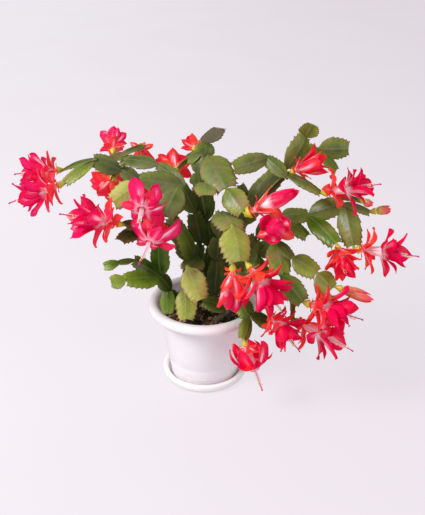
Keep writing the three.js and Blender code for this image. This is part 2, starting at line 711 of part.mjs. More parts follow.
const innerFloor = POT_BOTTOM + POT_FLOOR;
const potProfile = [
  [0, POT_BOTTOM],
  [POT_FOOT_RADIUS - 1.2, POT_BOTTOM],
  [POT_FOOT_RADIUS, POT_BOTTOM + 1.2],
  [POT_NECK_RADIUS, POT_NECK_HEIGHT - 3],
  [52.6, POT_NECK_HEIGHT + 0.6],
];
for (const degrees of [-76, -34, 4, 42, 80, 120, 165]) {
  const t = THREE.MathUtils.degToRad(degrees);
  potProfile.push([RIM_RADIUS + RIM_ROLL * Math.cos(t), RIM_MIDDLE + RIM_ROLL * Math.sin(t)]);
}
potProfile.push(
  [50.2, 88.6],
  [POT_NECK_RADIUS - POT_WALL, POT_NECK_HEIGHT - 3],
  [POT_FOOT_RADIUS - POT_WALL, innerFloor],
  [0, innerFloor],
);

// A seeded random number from 0 to 1 for a whole number.
function chance(seed) {
  const x = Math.sin(seed * 12.9898 + 4.1414) * 43758.5453;
  return x - Math.floor(x);
}

function soilSolid(roots) {
  const steps = 24;
  const level = (r, z, bump, ringIndex) => {
    const points = [];
    for (let i = 0; i < steps; i += 1) {
      const t = (i * 2 * Math.PI) / steps;
      const lift = bump * (chance(ringIndex * 100 + i) - 0.5) * 2;
      points.push(new THREE.Vector3(r * Math.cos(t), r * Math.sin(t), z + lift));
    }
    return points;
  };
  const rings = [
    level(POT_FOOT_RADIUS - POT_WALL - 0.6, innerFloor + GAP, 0, 0),
    level(POT_NECK_RADIUS - POT_WALL - 0.55, POT_NECK_HEIGHT - 3, 0, 1),
    level(POT_NECK_RADIUS - POT_WALL - 0.2, SOIL_TOP - 2.6, 0.5, 2),
    level(36, SOIL_TOP - 0.2, SOIL_BUMP, 3),
    level(18, SOIL_TOP + 0.3, SOIL_BUMP, 4),
  ];
  let soil = loft(rings, new THREE.Vector3(0, 0, SOIL_TOP + 1));
  for (const [x, y] of roots) {
    const radius = TRUNK_RADIUS + GAP / Math.cos(Math.PI / TRUNK_SIDES);
    const spin = Math.PI / TRUNK_SIDES;
    soil = soil.subtract(uprightHole(x, y, radius, TRUNK_FOOT - GAP, SOIL_TOP + 20, TRUNK_SIDES, spin));
  }
  return soil;
}

// ---- the whole --------------------------------------------------------------------------
const plastic = new THREE.MeshStandardMaterial({ color: 0xf1eef2, roughness: 0.5, metalness: 0 });
const earth = new THREE.MeshStandardMaterial({ color: 0x2e2320, roughness: 0.95, metalness: 0 });
const leaf = new THREE.MeshStandardMaterial({ color: 0x5d6b3c, roughness: 0.5, metalness: 0 });
const petal = new THREE.MeshStandardMaterial({ color: 0xe4365a, roughness: 0.55, metalness: 0 });
const plant = new THREE.Group();

function addMesh(name, solid, material) {
  const mesh = new THREE.Mesh(geometryOf(solid), material);
  mesh.name = name;
  plant.add(mesh);
}

addMesh("saucer", turned(saucerProfile), plastic);

let pot = turned(potProfile);
for (let i = 0; i < DRAIN_HOLES; i += 1) {
  const t = ((i + 0.5) * 2 * Math.PI) / DRAIN_HOLES;
  const x = DRAIN_CIRCLE_RADIUS * Math.cos(t);
  const y = DRAIN_CIRCLE_RADIUS * Math.sin(t);
  pot = pot.subtract(uprightHole(x, y, DRAIN_HOLE_RADIUS, POT_BOTTOM - 1, innerFloor + 1, 8, 0));
}
addMesh("pot", pot, plastic);
addMesh("soil", soilSolid(Object.values(STEMS).map(([root]) => root)), earth);

// Each stem grows from its root, one skin along its straightest run. A branch is a run of its
// own, sunk in the end that it grows from and joined. The run goes on from the middle seat of
// a segment's end, and what else grows there takes the seat by the nearer horn.
for (const [stem, [[x, y], rows]] of Object.entries(STEMS)) {
  const runs = [];
  const trunkSkin = new Skin();
  const first = new THREE.Vector3(...rows[0].slice(2, 5));
  const root = new THREE.Vector3(x, y, SOIL_TOP + 4);
  const top = root.clone().lerp(first, (TRUNK_TOP - root.z) / (first.z - root.z));
  const trunk = trunkSkin.trunk(x, y, top);
  const carried = (carrier) => [
    ...rows.filter((row) => row[1] === carrier).map((row) => ({ row, to: row.slice(2, 5) })),
    ...BLOOMS.filter((row) => row[1] === carrier).map((row) => ({ row, to: row.slice(2, 5), bloom: true })),
  ];
  const growBloom = (skin, seat, { row, to }) => {
    const mouth = new THREE.Vector3(...to);
    const tip = skin.ovary(seat, mouth);
    addMesh(row[0], bloomSolid(tip, mouth, row[5], row[6]), petal);
  };
  const growBlade = (skin, seat, { row, to }) => {
    const end = new THREE.Vector3(...to);
    const grown = skin.blade(seat, end, row[5], row[6]);
    const next = carried(row[0]);
    const heading = (item) => new THREE.Vector3(...item.to).sub(end).normalize();
    const blades = next.filter((item) => !item.bloom);
    const straight = blades.map((item) => heading(item).dot(grown.d));
    const leader = blades[straight.indexOf(Math.max(...straight))];
    const middle = next.length === 1 ? next[0] : leader;
    const acrossOf = (item) => heading(item).dot(grown.side);
    const beside = next.filter((item) => item !== middle).sort((p, q) => acrossOf(p) - acrossOf(q));
    const seatOf = (item) => {
      if (item === middle) return 1;
      if (beside.length === 1) return acrossOf(item) < 0 ? 0 : 2;
      return item === beside[0] ? 0 : 2;
    };
    const used = new Set();
    for (const item of next) {
      const place = grown.seats[seatOf(item)];
      if (item.bloom) {
        growBloom(skin, place, item);
        used.add(seatOf(item));
      } else if (item === leader && heading(item).dot(grown.d) > STRAIGHT_ABOVE) {
        growBlade(skin, place, item);
        used.add(seatOf(item));
      } else {
        const branch = new Skin();
        const neck = branch.neck(skin.middleOf(place), new THREE.Vector3(...item.to), item.row[6]);
        growBlade(branch, neck, item);
        runs.push(branch.solid());
      }
    }
    grown.seats.forEach((free, i) => {
      if (!used.has(i)) skin.wall(free.a, free.b);
    });
  };
  const [lead, ...others] = carried("root");
  const taken = new Set();
  for (const item of others) {
    const away = new THREE.Vector3(...item.to).sub(top).normalize();
    const reach = trunk.sides.map((seat) => seat.d.dot(away));
    const i = reach.indexOf(Math.max(...reach));
    taken.add(i);
    growBlade(trunkSkin, trunk.sides[i], item);
  }
  trunk.sides.forEach((free, i) => {
    if (!taken.has(i)) trunkSkin.wall(free.a, free.b);
  });
  growBlade(trunkSkin, trunk.end, lead);
  addMesh(stem, joined([trunkSkin.solid(), ...runs]), leaf);
}

export default plant;
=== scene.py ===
"""Looks of the potted christmas cactus: fine stems, blooms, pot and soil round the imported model.

The tables of the plant are those of the model's source, in millimetres. Everything is built in
millimetres and scaled to metres as it becomes a mesh.
"""
import random
from collections import namedtuple
from math import cos, exp, hypot, pi, radians, sin, sqrt

import bpy
import numpy as np
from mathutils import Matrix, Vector


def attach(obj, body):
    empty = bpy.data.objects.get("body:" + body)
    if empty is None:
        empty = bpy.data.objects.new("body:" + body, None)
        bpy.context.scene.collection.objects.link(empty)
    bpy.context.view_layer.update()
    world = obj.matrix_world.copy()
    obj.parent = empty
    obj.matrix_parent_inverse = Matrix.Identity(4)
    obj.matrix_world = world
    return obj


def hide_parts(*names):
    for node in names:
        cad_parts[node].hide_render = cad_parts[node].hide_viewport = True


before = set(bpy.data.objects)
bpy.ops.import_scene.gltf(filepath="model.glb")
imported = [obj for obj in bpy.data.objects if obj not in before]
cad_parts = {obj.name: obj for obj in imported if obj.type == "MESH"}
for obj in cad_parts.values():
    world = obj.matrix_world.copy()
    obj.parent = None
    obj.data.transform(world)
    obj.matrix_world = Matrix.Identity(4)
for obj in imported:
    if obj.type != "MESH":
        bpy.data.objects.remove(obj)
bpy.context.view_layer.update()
MM = 0.001
UP = Vector((0, 0, 1))

# ---- driving dimensions, in millimetres, as in the model ----
SAUCER_FLOOR = 2.5
SAUCER_RADIUS = 50.5
SAUCER_HEIGHT = 11.0
POT_BOTTOM = 2.8
POT_FOOT_RADIUS = 40.0
POT_NECK_RADIUS = 50.0
POT_NECK_HEIGHT = 86.5
POT_HEIGHT = 100.0
POT_WALL = 2.4
POT_FLOOR = 3.0
RIM_RADIUS = 59.0
RIM_ROLL = 6.0
DRAIN_HOLE_RADIUS = 4.0
DRAIN_CIRCLE_RADIUS = 20.0
DRAIN_HOLES = 4
SOIL_TOP = 88.0
SOIL_RADIUS = 49.4
TRUNK_RADIUS = 3.4
TRUNK_FOOT = 66.0
TRUNK_BEND = SOIL_TOP + 4  # a trunk is upright below this height
TRUNK_TOP = 112.0
TRUNK_SIDES = 6
BROAD_FROM = 22
BLADE_BOW = 0.06
SEAT = 0.26
HORN_AT = 1.03
NECK_SUNK = 2.6
COLLAR_BELOW = 0.6
STRAIGHT_ABOVE = 0.72
OUTWARD_LEAN = 0.35
PLANT_MIDDLE_Y = 30.0
OVARY_LENGTH = 7.0
BLOOM_FOOT = OVARY_LENGTH + 0.3
FULL_BLOOM = 56.0
BUD_BEYOND = 7.0
BUD_GIRTH = 3.2
BUD_SWELL = 0.05
SHORT_BUD = 22.0
SHORT_BUD_GIRTH = 1.28

# ---- the plant ----
# A stem's line gives its root (x, y) in the soil. The lines after it are its leaf segments: name,
# the segment it grows from, tip x, y, z, width, turn of its face to the front in degrees. A segment
# that looks unlike the rest has three more numbers, in hundredths: its tone from dark to
# yellow-green, the greyness of its wax, and how brown its margin is.
# These tips and the mouths of the blooms weren't all chosen by hand: for most, a scratch program
# turned places read by eye in the photo, with depths judged by eye, into millimetres. Half of all
# 130 stand as they came out of that. The rest were moved afterwards, or chosen one by one.
PLANT = """
arch_stem -10 10
h1 root -4 -2 172 18 0 20 15 10
h2 h1 -10 -12 213 22 20 18 15 10
h3 h2 -24 -14 245 22 0 24 20 10
a1 h3 -49 12 258 16 30 30 55 20
a2 a1 -90 25 260 22 15 30 75 30
a3 a2 -103 60 254 22 0 25 70 30
a4 a2 -73 58 265 26 0 25 65 30
b1 h3 -66 -25 255 26 40 32 60 30
b2 b1 -84 -24 266 17 30 25 65 30
b3 b2 -111 -28 278 22 35 28 70 30
b4 b3 -144 -18 264 16 -5 40 45 30
b5 b3 -137 -48 261 18 15 52 35 20
b6 b1 -91 -48 240 26 50 95 25 30
b7 b2 -96 12 246 20 10 30 75 30
c1 h3 -41 -44 224 30 30 42 65 30
centre_stem 6 2
e1 root 9 2 165 20 0 18 15 10
e2 e1 3 2 197 23 20 22 12 10
e3 e2 -4 4 239 25 20 28 18 10
e4 e3 -6 22 246 22 0 22 45 20
e5 e4 0 26 263 24 20 30 40 20
e6 e5 3 34 276 23 0 38 40 20
e7 e6 16 26 295 28 0 50 160 90
e8 e5 -17 38 257 20 30 45 40 30
e9 e8 -28 40 245 16 -20 40 50 30
e10 e8 -9 52 261 16 0 35 45 30
d1 e3 3 -36 243 26 0 62 95 80
g1 e5 24 -18 243 36 25 44 65 80
g2 g1 41 -42 227 27 32 56 35 100
front_stem 10 -16
f1 root 14 -15 158 20 0 20 18 10
f2 f1 16 -18 187 22 0 22 22 10
f3 f2 21 -24 218 24 0 28 40 20
k1 f3 30 -64 218 34 0 48 85 70
k2 k1 36 -84 191 36 10 78 26 60
right_top_stem 22 14
r1 root 28 16 158 20 0
r2 r1 40 20 186 24 20
r3 r2 60 20 215 26 30
r4 r3 89 18 252 24 25 30 60 30
r5 r4 110 34 283 26 50 42 35 40
r6 r5 115 22 300 22 0 52 45 60
r7 r4 128 58 261 24 40 35 40 30
r8 r7 164 62 260 26 80 42 50 80
r9 r7 150 50 238 24 20 48 25 40
r13 r3 87 0 252 18 20 28 55 30
r10 r13 122 -22 240 17 10 35 55 30
r11 r13 67 10 267 18 45 35 60 30
r12 r11 31 -8 262 21 45 45 50 50
right_mid_stem 30 -6
m1 root 41 -6 158 22 0
m2 m1 57 -8 182 24 20
m3 m2 83 -8 207 26 20
m11 m2 77 -34 204 16 20
m4 m3 113 -6 209 24 20 32 50 30
m5 m4 149 -10 223 24 50 38 45 20
m6 m5 176 -16 216 17 10 35 55 30
m7 m5 157 -42 188 25 45 40 40 50
m8 m4 138 -46 193 23 30 42 12 40
m9 m5 169 18 217 16 0
m10 m3 111 -26 192 24 10 48 20 30
right_low_stem 28 -24
q1 root 44 -27 150 20 0
q2 q1 58 -36 175 24 10
q3 q2 74 -38 192 24 10
q4 q3 80 -70 168 30 10 50 40 70
q10 q3 92 -54 181 16 10 35 25 20
q5 q10 117 -66 169 24 30 52 40 50
q6 q5 132 -74 154 26 30 55 40 50
q7 q4 102 -84 145 24 40 42 20 40
q8 q4 97 -54 108 20 10 35 20 20
q9 q2 66 -74 130 22 10 40 20 20
front_low_stem 14 -34
n1 root 39 -46 125 18 0
n2 n1 48 -62 114 22 10 40 15 20
n3 n2 42 -80 97 20 40 50 20 20
n4 n2 74 -60 103 20 10 42 15 20
n5 root -1 -34 118 22 0 30 15 20
left_low_stem -30 -12
l1 root -37 -24 125 15 0 12 10 10
l2 l1 -49 -28 145 20 25 30 10 10
l3 l2 -75 -35 168 19 30 32 15 10
l4 l3 -90 -41 168 13 0 54 10 20
l5 l4 -106 -44 165 14 20 55 10 20
l6 l2 -81 -64 160 24 35 66 2 10
l7 l6 -95 -72 162 17 35 72 10 20
l8 l2 -47 -36 188 23 70 35 10 10
l9 l1 -40 -38 103 18 10 72 10 10
front_left_stem -8 -26
o1 root -16 -27 128 17 0 15 20 10
o2 o1 -19 -50 102 25 10 72 30 50
o3 o1 -12 -27 166 22 0 18 20 10
o4 o3 -16 -50 165 26 0 40 70 60
o5 o4 -3 -62 134 28 15 86 35 100
o6 o3 -24 -38 205 28 10 38 20 10
left_mid_stem -22 2
p1 root -17 -6 153 20 0
p2 p1 -24 -10 186 24 10
p3 p2 -62 -30 208 24 10 30 35 20
p4 p3 -57 -50 250 16 20 42 40 30
p5 p3 -80 -56 219 20 20 30 60 50
p6 p3 -84 -60 203 24 10 22 50 90
back_left_stem -14 28
s1 root -22 40 145 20 0
s2 s1 -40 62 175 24 10
s3 s2 -64 84 196 26 10
s4 s3 -98 92 200 24 10
s5 s3 -66 118 190 24 10
s6 s2 -28 98 188 26 0
back_right_stem 12 32
t1 root 24 44 150 20 0
t2 t1 50 52 192 24 0
t3 t2 81 64 231 24 40
t5 t1 52 96 170 24 10
t6 t2 42 64 216 22 30
"""

# Each bloom: name, the segment it hangs on, mouth x, y, z, form, turn of its petals in degrees, and
# where they differ from the rest: how near its inner petals are to coral and to rose, the size of
# its petals, and the girth of its ovary.
BLOOM_LINES = """
bloom_01 b4 -186 -28 265 forward 0 rosy=1
bloom_02 b5 -184 -64 250 forward 30 coral=0.1 rosy=1
bloom_03 a3 -108 96 270 cup 10 coral=0.15 rosy=1 size=0.82
bloom_04 a4 -72 88 230 half 0 coral=0.6
bloom_05 b7 -115 44 218 cup 0 coral=0.55 size=0.92
bloom_06 p4 -59 -90 246 swept 10 coral=0.15 rosy=0.8
bloom_07 c1 -56 -84 206 swept 48 coral=0.2 rosy=0.7
bloom_08 p5 -131 -76 240 forward 0 rosy=0.6
bloom_09 e9 -39 88 229 cup 0 coral=0.4 size=0.92
bloom_10 e10 -18 96 262 half 0 coral=0.7
bloom_11 g2 97 -44 252 half 0 coral=0.3 rosy=0.2 ovary=1.75
bloom_12 k2 32 -74 128 plump 70
bloom_13 k2 78 -108 150 forward 30
bloom_14 q9 96 -100 102 forward 0
bloom_15 n3 57 -94 60 swept 0 coral=0.1
bloom_16 r13 130 -6 273 fan 20 coral=0.7
bloom_17 r10 170 -40 257 loose 0 ovary=1.35
bloom_18 m11 69 -82 229 ball 0 rosy=0.4
bloom_19 m8 146 -80 171 bell 0 coral=0.45
bloom_20 m7 211 -62 189 loose 0 ovary=1.2
bloom_21 q7 154 -100 138 forward 30 ovary=1.2
bloom_22 q8 148 -90 96 loose 0
bloom_23 q6 129 -42 96 half 40 coral=0.5
bud_1 m9 180 16 213 bud 0
bud_2 m6 191 -18 219 bud 0
bud_3 q6 168 -80 148 bud 0
"""

COMMON_LOOK = (0.32, 0.35, 0.2)
Leaf = namedtuple("Leaf", "name carrier tip turn width look")
Bloom = namedtuple("Bloom", "name carrier tip turn form coral rosy size ovary", defaults=(0, 0, 1, 1))


def read_plant():
    """The stems as (root, leaves) by name."""
    stems = {}
    for line in PLANT.strip().split("\n"):
        name, *words = line.split()
        if len(words) == 2:
            leaves = []
            stems[name] = ([int(word) for word in words], leaves)
        else:
            *tip, width, turn = [int(word) for word in words[1:6]]
            look = [int(word) / 100 for word in words[6:]] or COMMON_LOOK
            leaves.append(Leaf(name, words[0], Vector(tip), turn, width, look))
    return stems


def read_blooms():
    for line in BLOOM_LINES.strip().split("\n"):
        name, carrier, x, y, z, form, turn, *marks = line.split()
        more = {key: float(value) for key, value in (mark.split("=") for mark in marks)}
        yield Bloom(name, carrier, Vector((int(x), int(y), int(z))), int(turn), form, **more)


STEMS = read_plant()
BLOOMS = list(read_blooms())


# ---- meshes ----
def link(piece):
    bpy.context.scene.collection.objects.link(piece)


def new_piece(name, points, faces, materials, smooth=True):
    mesh = bpy.data.meshes.new(name)
    mesh.from_pydata((np.array(points) * MM).tolist(), [], faces)
    for material in materials:
        mesh.materials.append(material)
    mesh.polygons.foreach_set("use_smooth", [smooth] * len(faces))
    mesh.update()
    piece = bpy.data.objects.new(name, mesh)
    link(piece)
    return piece


class Skin:
    """Points in millimetres, faces, and two marks of four numbers for each point."""

    def __init__(self):
        self.points = []
        self.marks = []
        self.faces = []
        self.slots = []

    def add(self, point, place, look):
        self.points.append(tuple(point))
        self.marks.append((place, look))
        return len(self.points) - 1

    def face(self, corners, slot=0):
        self.faces.append(tuple(corners))
        self.slots.append(slot)

    def rings(self, rings, slot=0, cap_end=True):
        """Closed rings of points that are already added, joined to a tube."""
        for low, high in zip(rings, rings[1:]):
            n = len(low)
            for i in range(n):
                j = (i + 1) % n
                self.face((low[i], low[j], high[j], high[i]), slot)
        self.face(reversed(rings[0]), slot)
        if cap_end:
            self.face(rings[-1], slot)

    def ring(self, middle, e, g, radii, share, mark, look):
        """A ring of points at their own radii round a middle."""
        count = len(radii)
        return [self.add(middle + between(e, g, round_at(i, count)) * radius,
                         (0.5, share, i / count, mark), look) for i, radius in enumerate(radii)]

    def piece(self, name, materials, smooth=True):
        piece = new_piece(name, self.points, self.faces, materials, smooth)
        mesh = piece.data
        for label, values in zip(("place", "look"), zip(*self.marks)):
            layer = mesh.attributes.new(label, "FLOAT_COLOR", "POINT")
            layer.data.foreach_set("color", np.array(values, dtype=np.float32).ravel())
        mesh.polygons.foreach_set("material_index", self.slots)
        mesh.validate()
        return piece


def ride(piece, slot, *nodes):
    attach(piece, "root")
    if nodes:
        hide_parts(*nodes)


def mix(a, b, share):
    return a + (b - a) * share


def clamp(x, low=0.0, high=1.0):
    return max(low, min(high, x))


def round_at(i, count):
    """The angle of the i-th of so many equal steps round a circle."""
    return 2 * pi * i / count


def between(e, g, angle):
    """The direction at an angle from e towards g, which stands square to it."""
    return e * cos(angle) + g * sin(angle)


def sides_of(axis):
    helper = UP if abs(axis.z) < 0.9 else Vector((1, 0, 0))
    e = helper.cross(axis).normalized()
    return e, axis.cross(e)


# ---- how the plant grows ----
def lie_of(p, q, turn):
    """How a segment lies: along it, across it, out of its upper face, and its length."""
    span = q - p
    d = span.normalized()
    outward = Vector(((p.x + q.x) / 2, (p.y + q.y) / 2 - PLANT_MIDDLE_Y, 0)).normalized()
    up = UP + outward * OUTWARD_LEAN
    n = (up - d * up.dot(d)).normalized()
    s = d.cross(n)
    if s.y > 0.3 or (abs(s.y) <= 0.3 and s.x < 0):
        s.negate()
    face = between(n, s, radians(turn))
    return d, face.cross(d).normalized(), face, span.length


class Blade:
    """One leaf segment as it lies."""

    def __init__(self, leaf, start):
        self.look = leaf.look
        self.start = start
        self.width = leaf.width
        self.d, self.side, self.face, self.length = lie_of(start, leaf.tip, leaf.turn)
        self.broad = leaf.width >= BROAD_FROM

    def at(self, a, b, lift=0.0):
        """A point at a share of the length and a share of the half width."""
        bow = BLADE_BOW * self.length * 4 * a * (1 - a) - 0.1 * abs(b) ** 3 * self.width
        return (self.start + self.d * (self.length * a) + self.side * (b * self.width / 2)
                + self.face * (bow + lift))

    def seat(self, side):
        """The middle of a seat at the end: -1 by the left horn, 0 in the middle, 1 by the right horn."""
        if side == 0:
            return (self.at(1, -SEAT) + self.at(1, SEAT)) / 2
        horn = 0.58 if self.broad else 0.62
        return (self.at(HORN_AT, side * horn) + self.at(1, side * SEAT)) / 2


def trunk_middle(root, top, z):
    """The middle of a trunk at a height."""
    share = clamp((z - TRUNK_BEND) / (top.z - TRUNK_BEND))
    return Vector((mix(root[0], top.x, share), mix(root[1], top.y, share), z))


def grow_stem(root, leaves):
    """A stem's leaf segments as Blades, its blooms as (bloom, seat, heading), its trunk's end."""
    foot = Vector((*root, TRUNK_BEND))
    top = foot.lerp(leaves[0].tip, (TRUNK_TOP - foot.z) / (leaves[0].tip.z - foot.z))
    blades = []
    blooms = []

    def grow(leaf, start):
        blade = Blade(leaf, start)
        blades.append(blade)

        def along(thing):
            return (thing.tip - leaf.tip).normalized().dot(blade.d)

        def across(thing):
            return (thing.tip - leaf.tip).normalized().dot(blade.side)

        things = [thing for thing in leaves + BLOOMS if thing.carrier == leaf.name]
        leader = max((thing for thing in things if type(thing) is Leaf), key=along, default=None)
        middle = things[0] if len(things) == 1 else leader
        beside = sorted((thing for thing in things if thing is not middle), key=across)
        for thing in things:
            left = across(thing) < 0 if len(beside) == 1 else thing in beside[:1]
            seat = blade.seat(0 if thing is middle else -1 if left else 1)
            if type(thing) is Bloom:
                blooms.append((thing, seat, blade.d))
            elif thing is leader and along(thing) > STRAIGHT_ABOVE:
                grow(thing, seat)
            else:
                grow(thing, seat - lie_of(seat, thing.tip, thing.turn)[0] * NECK_SUNK)

    lead, *others = [leaf for leaf in leaves if leaf.carrier == "root"]
    # the others grow from the sides of the trunk near its end
    middle = (trunk_middle(root, top, top.z - 5) + top) / 2
    reach = TRUNK_RADIUS * 0.875 * cos(pi / TRUNK_SIDES)
    angles = [round_at(i + 0.5, TRUNK_SIDES) for i in range(TRUNK_SIDES)]
    sides = [Vector((cos(t), sin(t), 0)) for t in angles]
    for leaf in others:
        grow(leaf, middle + max(sides, key=(leaf.tip - top).dot) * reach)
    grow(lead, top)
    return blades, blooms, top


# ---- leaf segments ----
BLADE_COLUMNS = (-1, -0.94, -0.8, -0.58, -0.34, -0.15, -0.06, 0, 0.06, 0.15, 0.34, 0.58, 0.8, 0.94, 1)
RIB_HALF = 1.3
EDGE_HALF = 0.3
NECK_HALF_WIDTH = 2.0
NECK_END = 0.03
BROAD_OUTLINE = ((0.2, 0.74), (0.43, 1.0), (0.62, 0.96), (0.8, 0.86), (0.93, 0.72), (HORN_AT, 0.56))
SLIM_OUTLINE = ((0.2, 0.7), (0.55, 1.0), (0.7, 0.93), (0.85, 0.82), (0.95, 0.7), (HORN_AT, 0.58))
TEETH = (0.3, 0.49, 0.66, 0.81, 0.93, HORN_AT)


def outline_at(outline, a, neck):
    """Half width at a place along a segment, smoothly between the outline's points."""
    points = ((NECK_END, neck * 1.25),) + outline
    for (a0, b0), (a1, b1) in zip(points, points[1:]):
        if a <= a1:
            share = clamp((a - a0) / (a1 - a0))
            return mix(b0, b1, sin(pi / 2 * share) if a1 <= 0.55 else share)
    return outline[-1][1]


def margin_of(blade, neck, rng):
    """One margin from the neck to the horn, as (share of length, share of half width) points."""
    outline = BROAD_OUTLINE if blade.broad else SLIM_OUTLINE
    points = []
    before = NECK_END
    for tooth in TEETH:
        at = tooth + (rng.uniform(-0.025, 0.025) if tooth < 1 else 0)
        height = (0.02 + 0.12 * tooth) * rng.uniform(0.55, 1.35)
        for x in (0.12, 0.4, 0.68, 0.88, 1.0):
            a = mix(before, at, x)
            points.append((a + 0.012 * x ** 4, outline_at(outline, a, neck) + height * (x ** 3 - 0.35)))
        before = at + 0.004
    return points


def add_blade(skin, blade, rng):
    tone, grey, brown = blade.look
    tone = clamp(tone + rng.uniform(-0.05, 0.05))
    neck = 2 * NECK_HALF_WIDTH / blade.width
    left = margin_of(blade, neck, rng)
    right = margin_of(blade, neck, rng)
    # each row has its place on the rib and its points on both margins
    rows = [(a, (a, half), (a, half)) for a, half in
            ((-2.4 / blade.length, neck * 0.85), (0.0, neck), (NECK_END, neck * 1.25))]
    rib = NECK_END
    last_rib = 0.975
    for k, (p, q) in enumerate(zip(left, right)):
        rib = max(rib + 0.006, (p[0] + q[0]) / 2 * last_rib / HORN_AT)
        rows.append((min(rib, last_rib - 0.004 * (len(left) - 1 - k)), p, q))
    wave_phase = rng.uniform(0, 2 * pi)
    wave_turn = rng.uniform(4.5, 7.5)
    wave_height = blade.width * rng.uniform(0.015, 0.038)
    curl = rng.uniform(-0.6, 1.9)
    look = (tone, grey, brown, rng.random())
    rings = []
    for rib_a, p, q in rows:
        round_neck = clamp(1 - rib_a / 0.1)
        upper = []
        lower = []
        for v in BLADE_COLUMNS:
            margin_a, margin_b = p if v < 0 else q
            out = abs(v)
            a = mix(rib_a, margin_a, out ** 2.4)
            lens = 0.5 * (1 - out ** 1.7) + 0.5 * exp(-((v / 0.11) ** 2))
            flat = EDGE_HALF + (RIB_HALF - EDGE_HALF) * lens * (1 - 0.25 * clamp(a))
            tube = 1.25 * sqrt(max(0.0, 1 - v * v * 0.9))
            sway = sin(wave_phase + wave_turn * a + (2.0 if v < 0 else 0.0))
            lift = wave_height * sway * out ** 2 * clamp(a * 3) - curl * out ** 4 * clamp(a * 2 - 0.6)
            half = 0.0 if out == 1 else mix(flat, tube, round_neck)
            place = (out, clamp(a), 0.5 + v / 2, 0.0)
            upper.append(skin.add(blade.at(a, v * margin_b, lift + half), place, look))
            if half:
                lower.append(skin.add(blade.at(a, v * margin_b, lift - half), place, look))
        rings.append(upper + lower[::-1])
    skin.rings(rings, cap_end=False)
    # the far end is closed from the upper to the lower side
    lower = [upper[0]] + lower + [upper[-1]]
    for k in range(len(upper) - 1):
        skin.face(dict.fromkeys((upper[k], upper[k + 1], lower[k + 1], lower[k])))


# ---- trunks and ovaries ----
def add_tube(skin, stations, look, sides, slot=0, mark=0.0, wobble=0.0, rng=None):
    """A tube through (middle, radius) stations."""
    rings = []
    last = len(stations) - 1
    for k, (middle, radius) in enumerate(stations):
        axis = (stations[min(last, k + 1)][0] - stations[max(0, k - 1)][0]).normalized()
        if k == 0:
            e, g = sides_of(axis)
        else:
            e = (e - axis * e.dot(axis)).normalized()
            g = axis.cross(e)
        radii = [radius * (1 + (rng.uniform(-wobble, wobble) if rng else 0)) for _ in range(sides)]
        rings.append(skin.ring(middle, e, g, radii, k / last, mark, look))
    skin.rings(rings, slot)


def add_trunk(skin, root, top, rng):
    steps = 16
    stations = []
    for k in range(steps + 1):
        share = k / steps
        swell = 0.93 - 0.16 * share + 0.05 * sin(share * 9 + root[0])
        middle = trunk_middle(root, top, mix(TRUNK_FOOT, top.z + 2.0, share))
        stations.append((middle, TRUNK_RADIUS * swell))
    add_tube(skin, stations, (0.3, 0.3, 0.3, rng.random()), 16, slot=1, mark=1.0, wobble=0.06, rng=rng)


def add_ovary(skin, seat, heading, bloom, rng):
    """The ovary under a bloom, on a bent collar where the bloom turns far from its segment. Returns
    where the bloom's axis starts."""
    start = seat
    axis = (bloom.tip - seat).normalized()
    if heading.dot(axis) >= COLLAR_BELOW:
        stations = [(seat - axis * 1.6, 1.2), (seat, 1.45)]
    else:
        collar = seat + heading * 0.8
        start = seat + heading * 2.4 + (heading + axis).normalized()
        axis = (bloom.tip - start).normalized()
        start = start - axis * 1.5
        stations = [(seat - heading * 1.2, 1.3), (collar, 1.45),
                    (mix(collar, start + axis * 2.0, 0.55), 1.75)]
    for share, radius in ((0.2, 2.0), (0.45, 2.8), (0.7, 3.6), (0.88, 3.8), (0.97, 3.3), (1.0, 2.2)):
        stations.append((start + axis * (OVARY_LENGTH * share), radius * bloom.ovary))
    add_tube(skin, stations, (0.8, 0.2, 0.1, rng.random()), 14, slot=2)
    return start


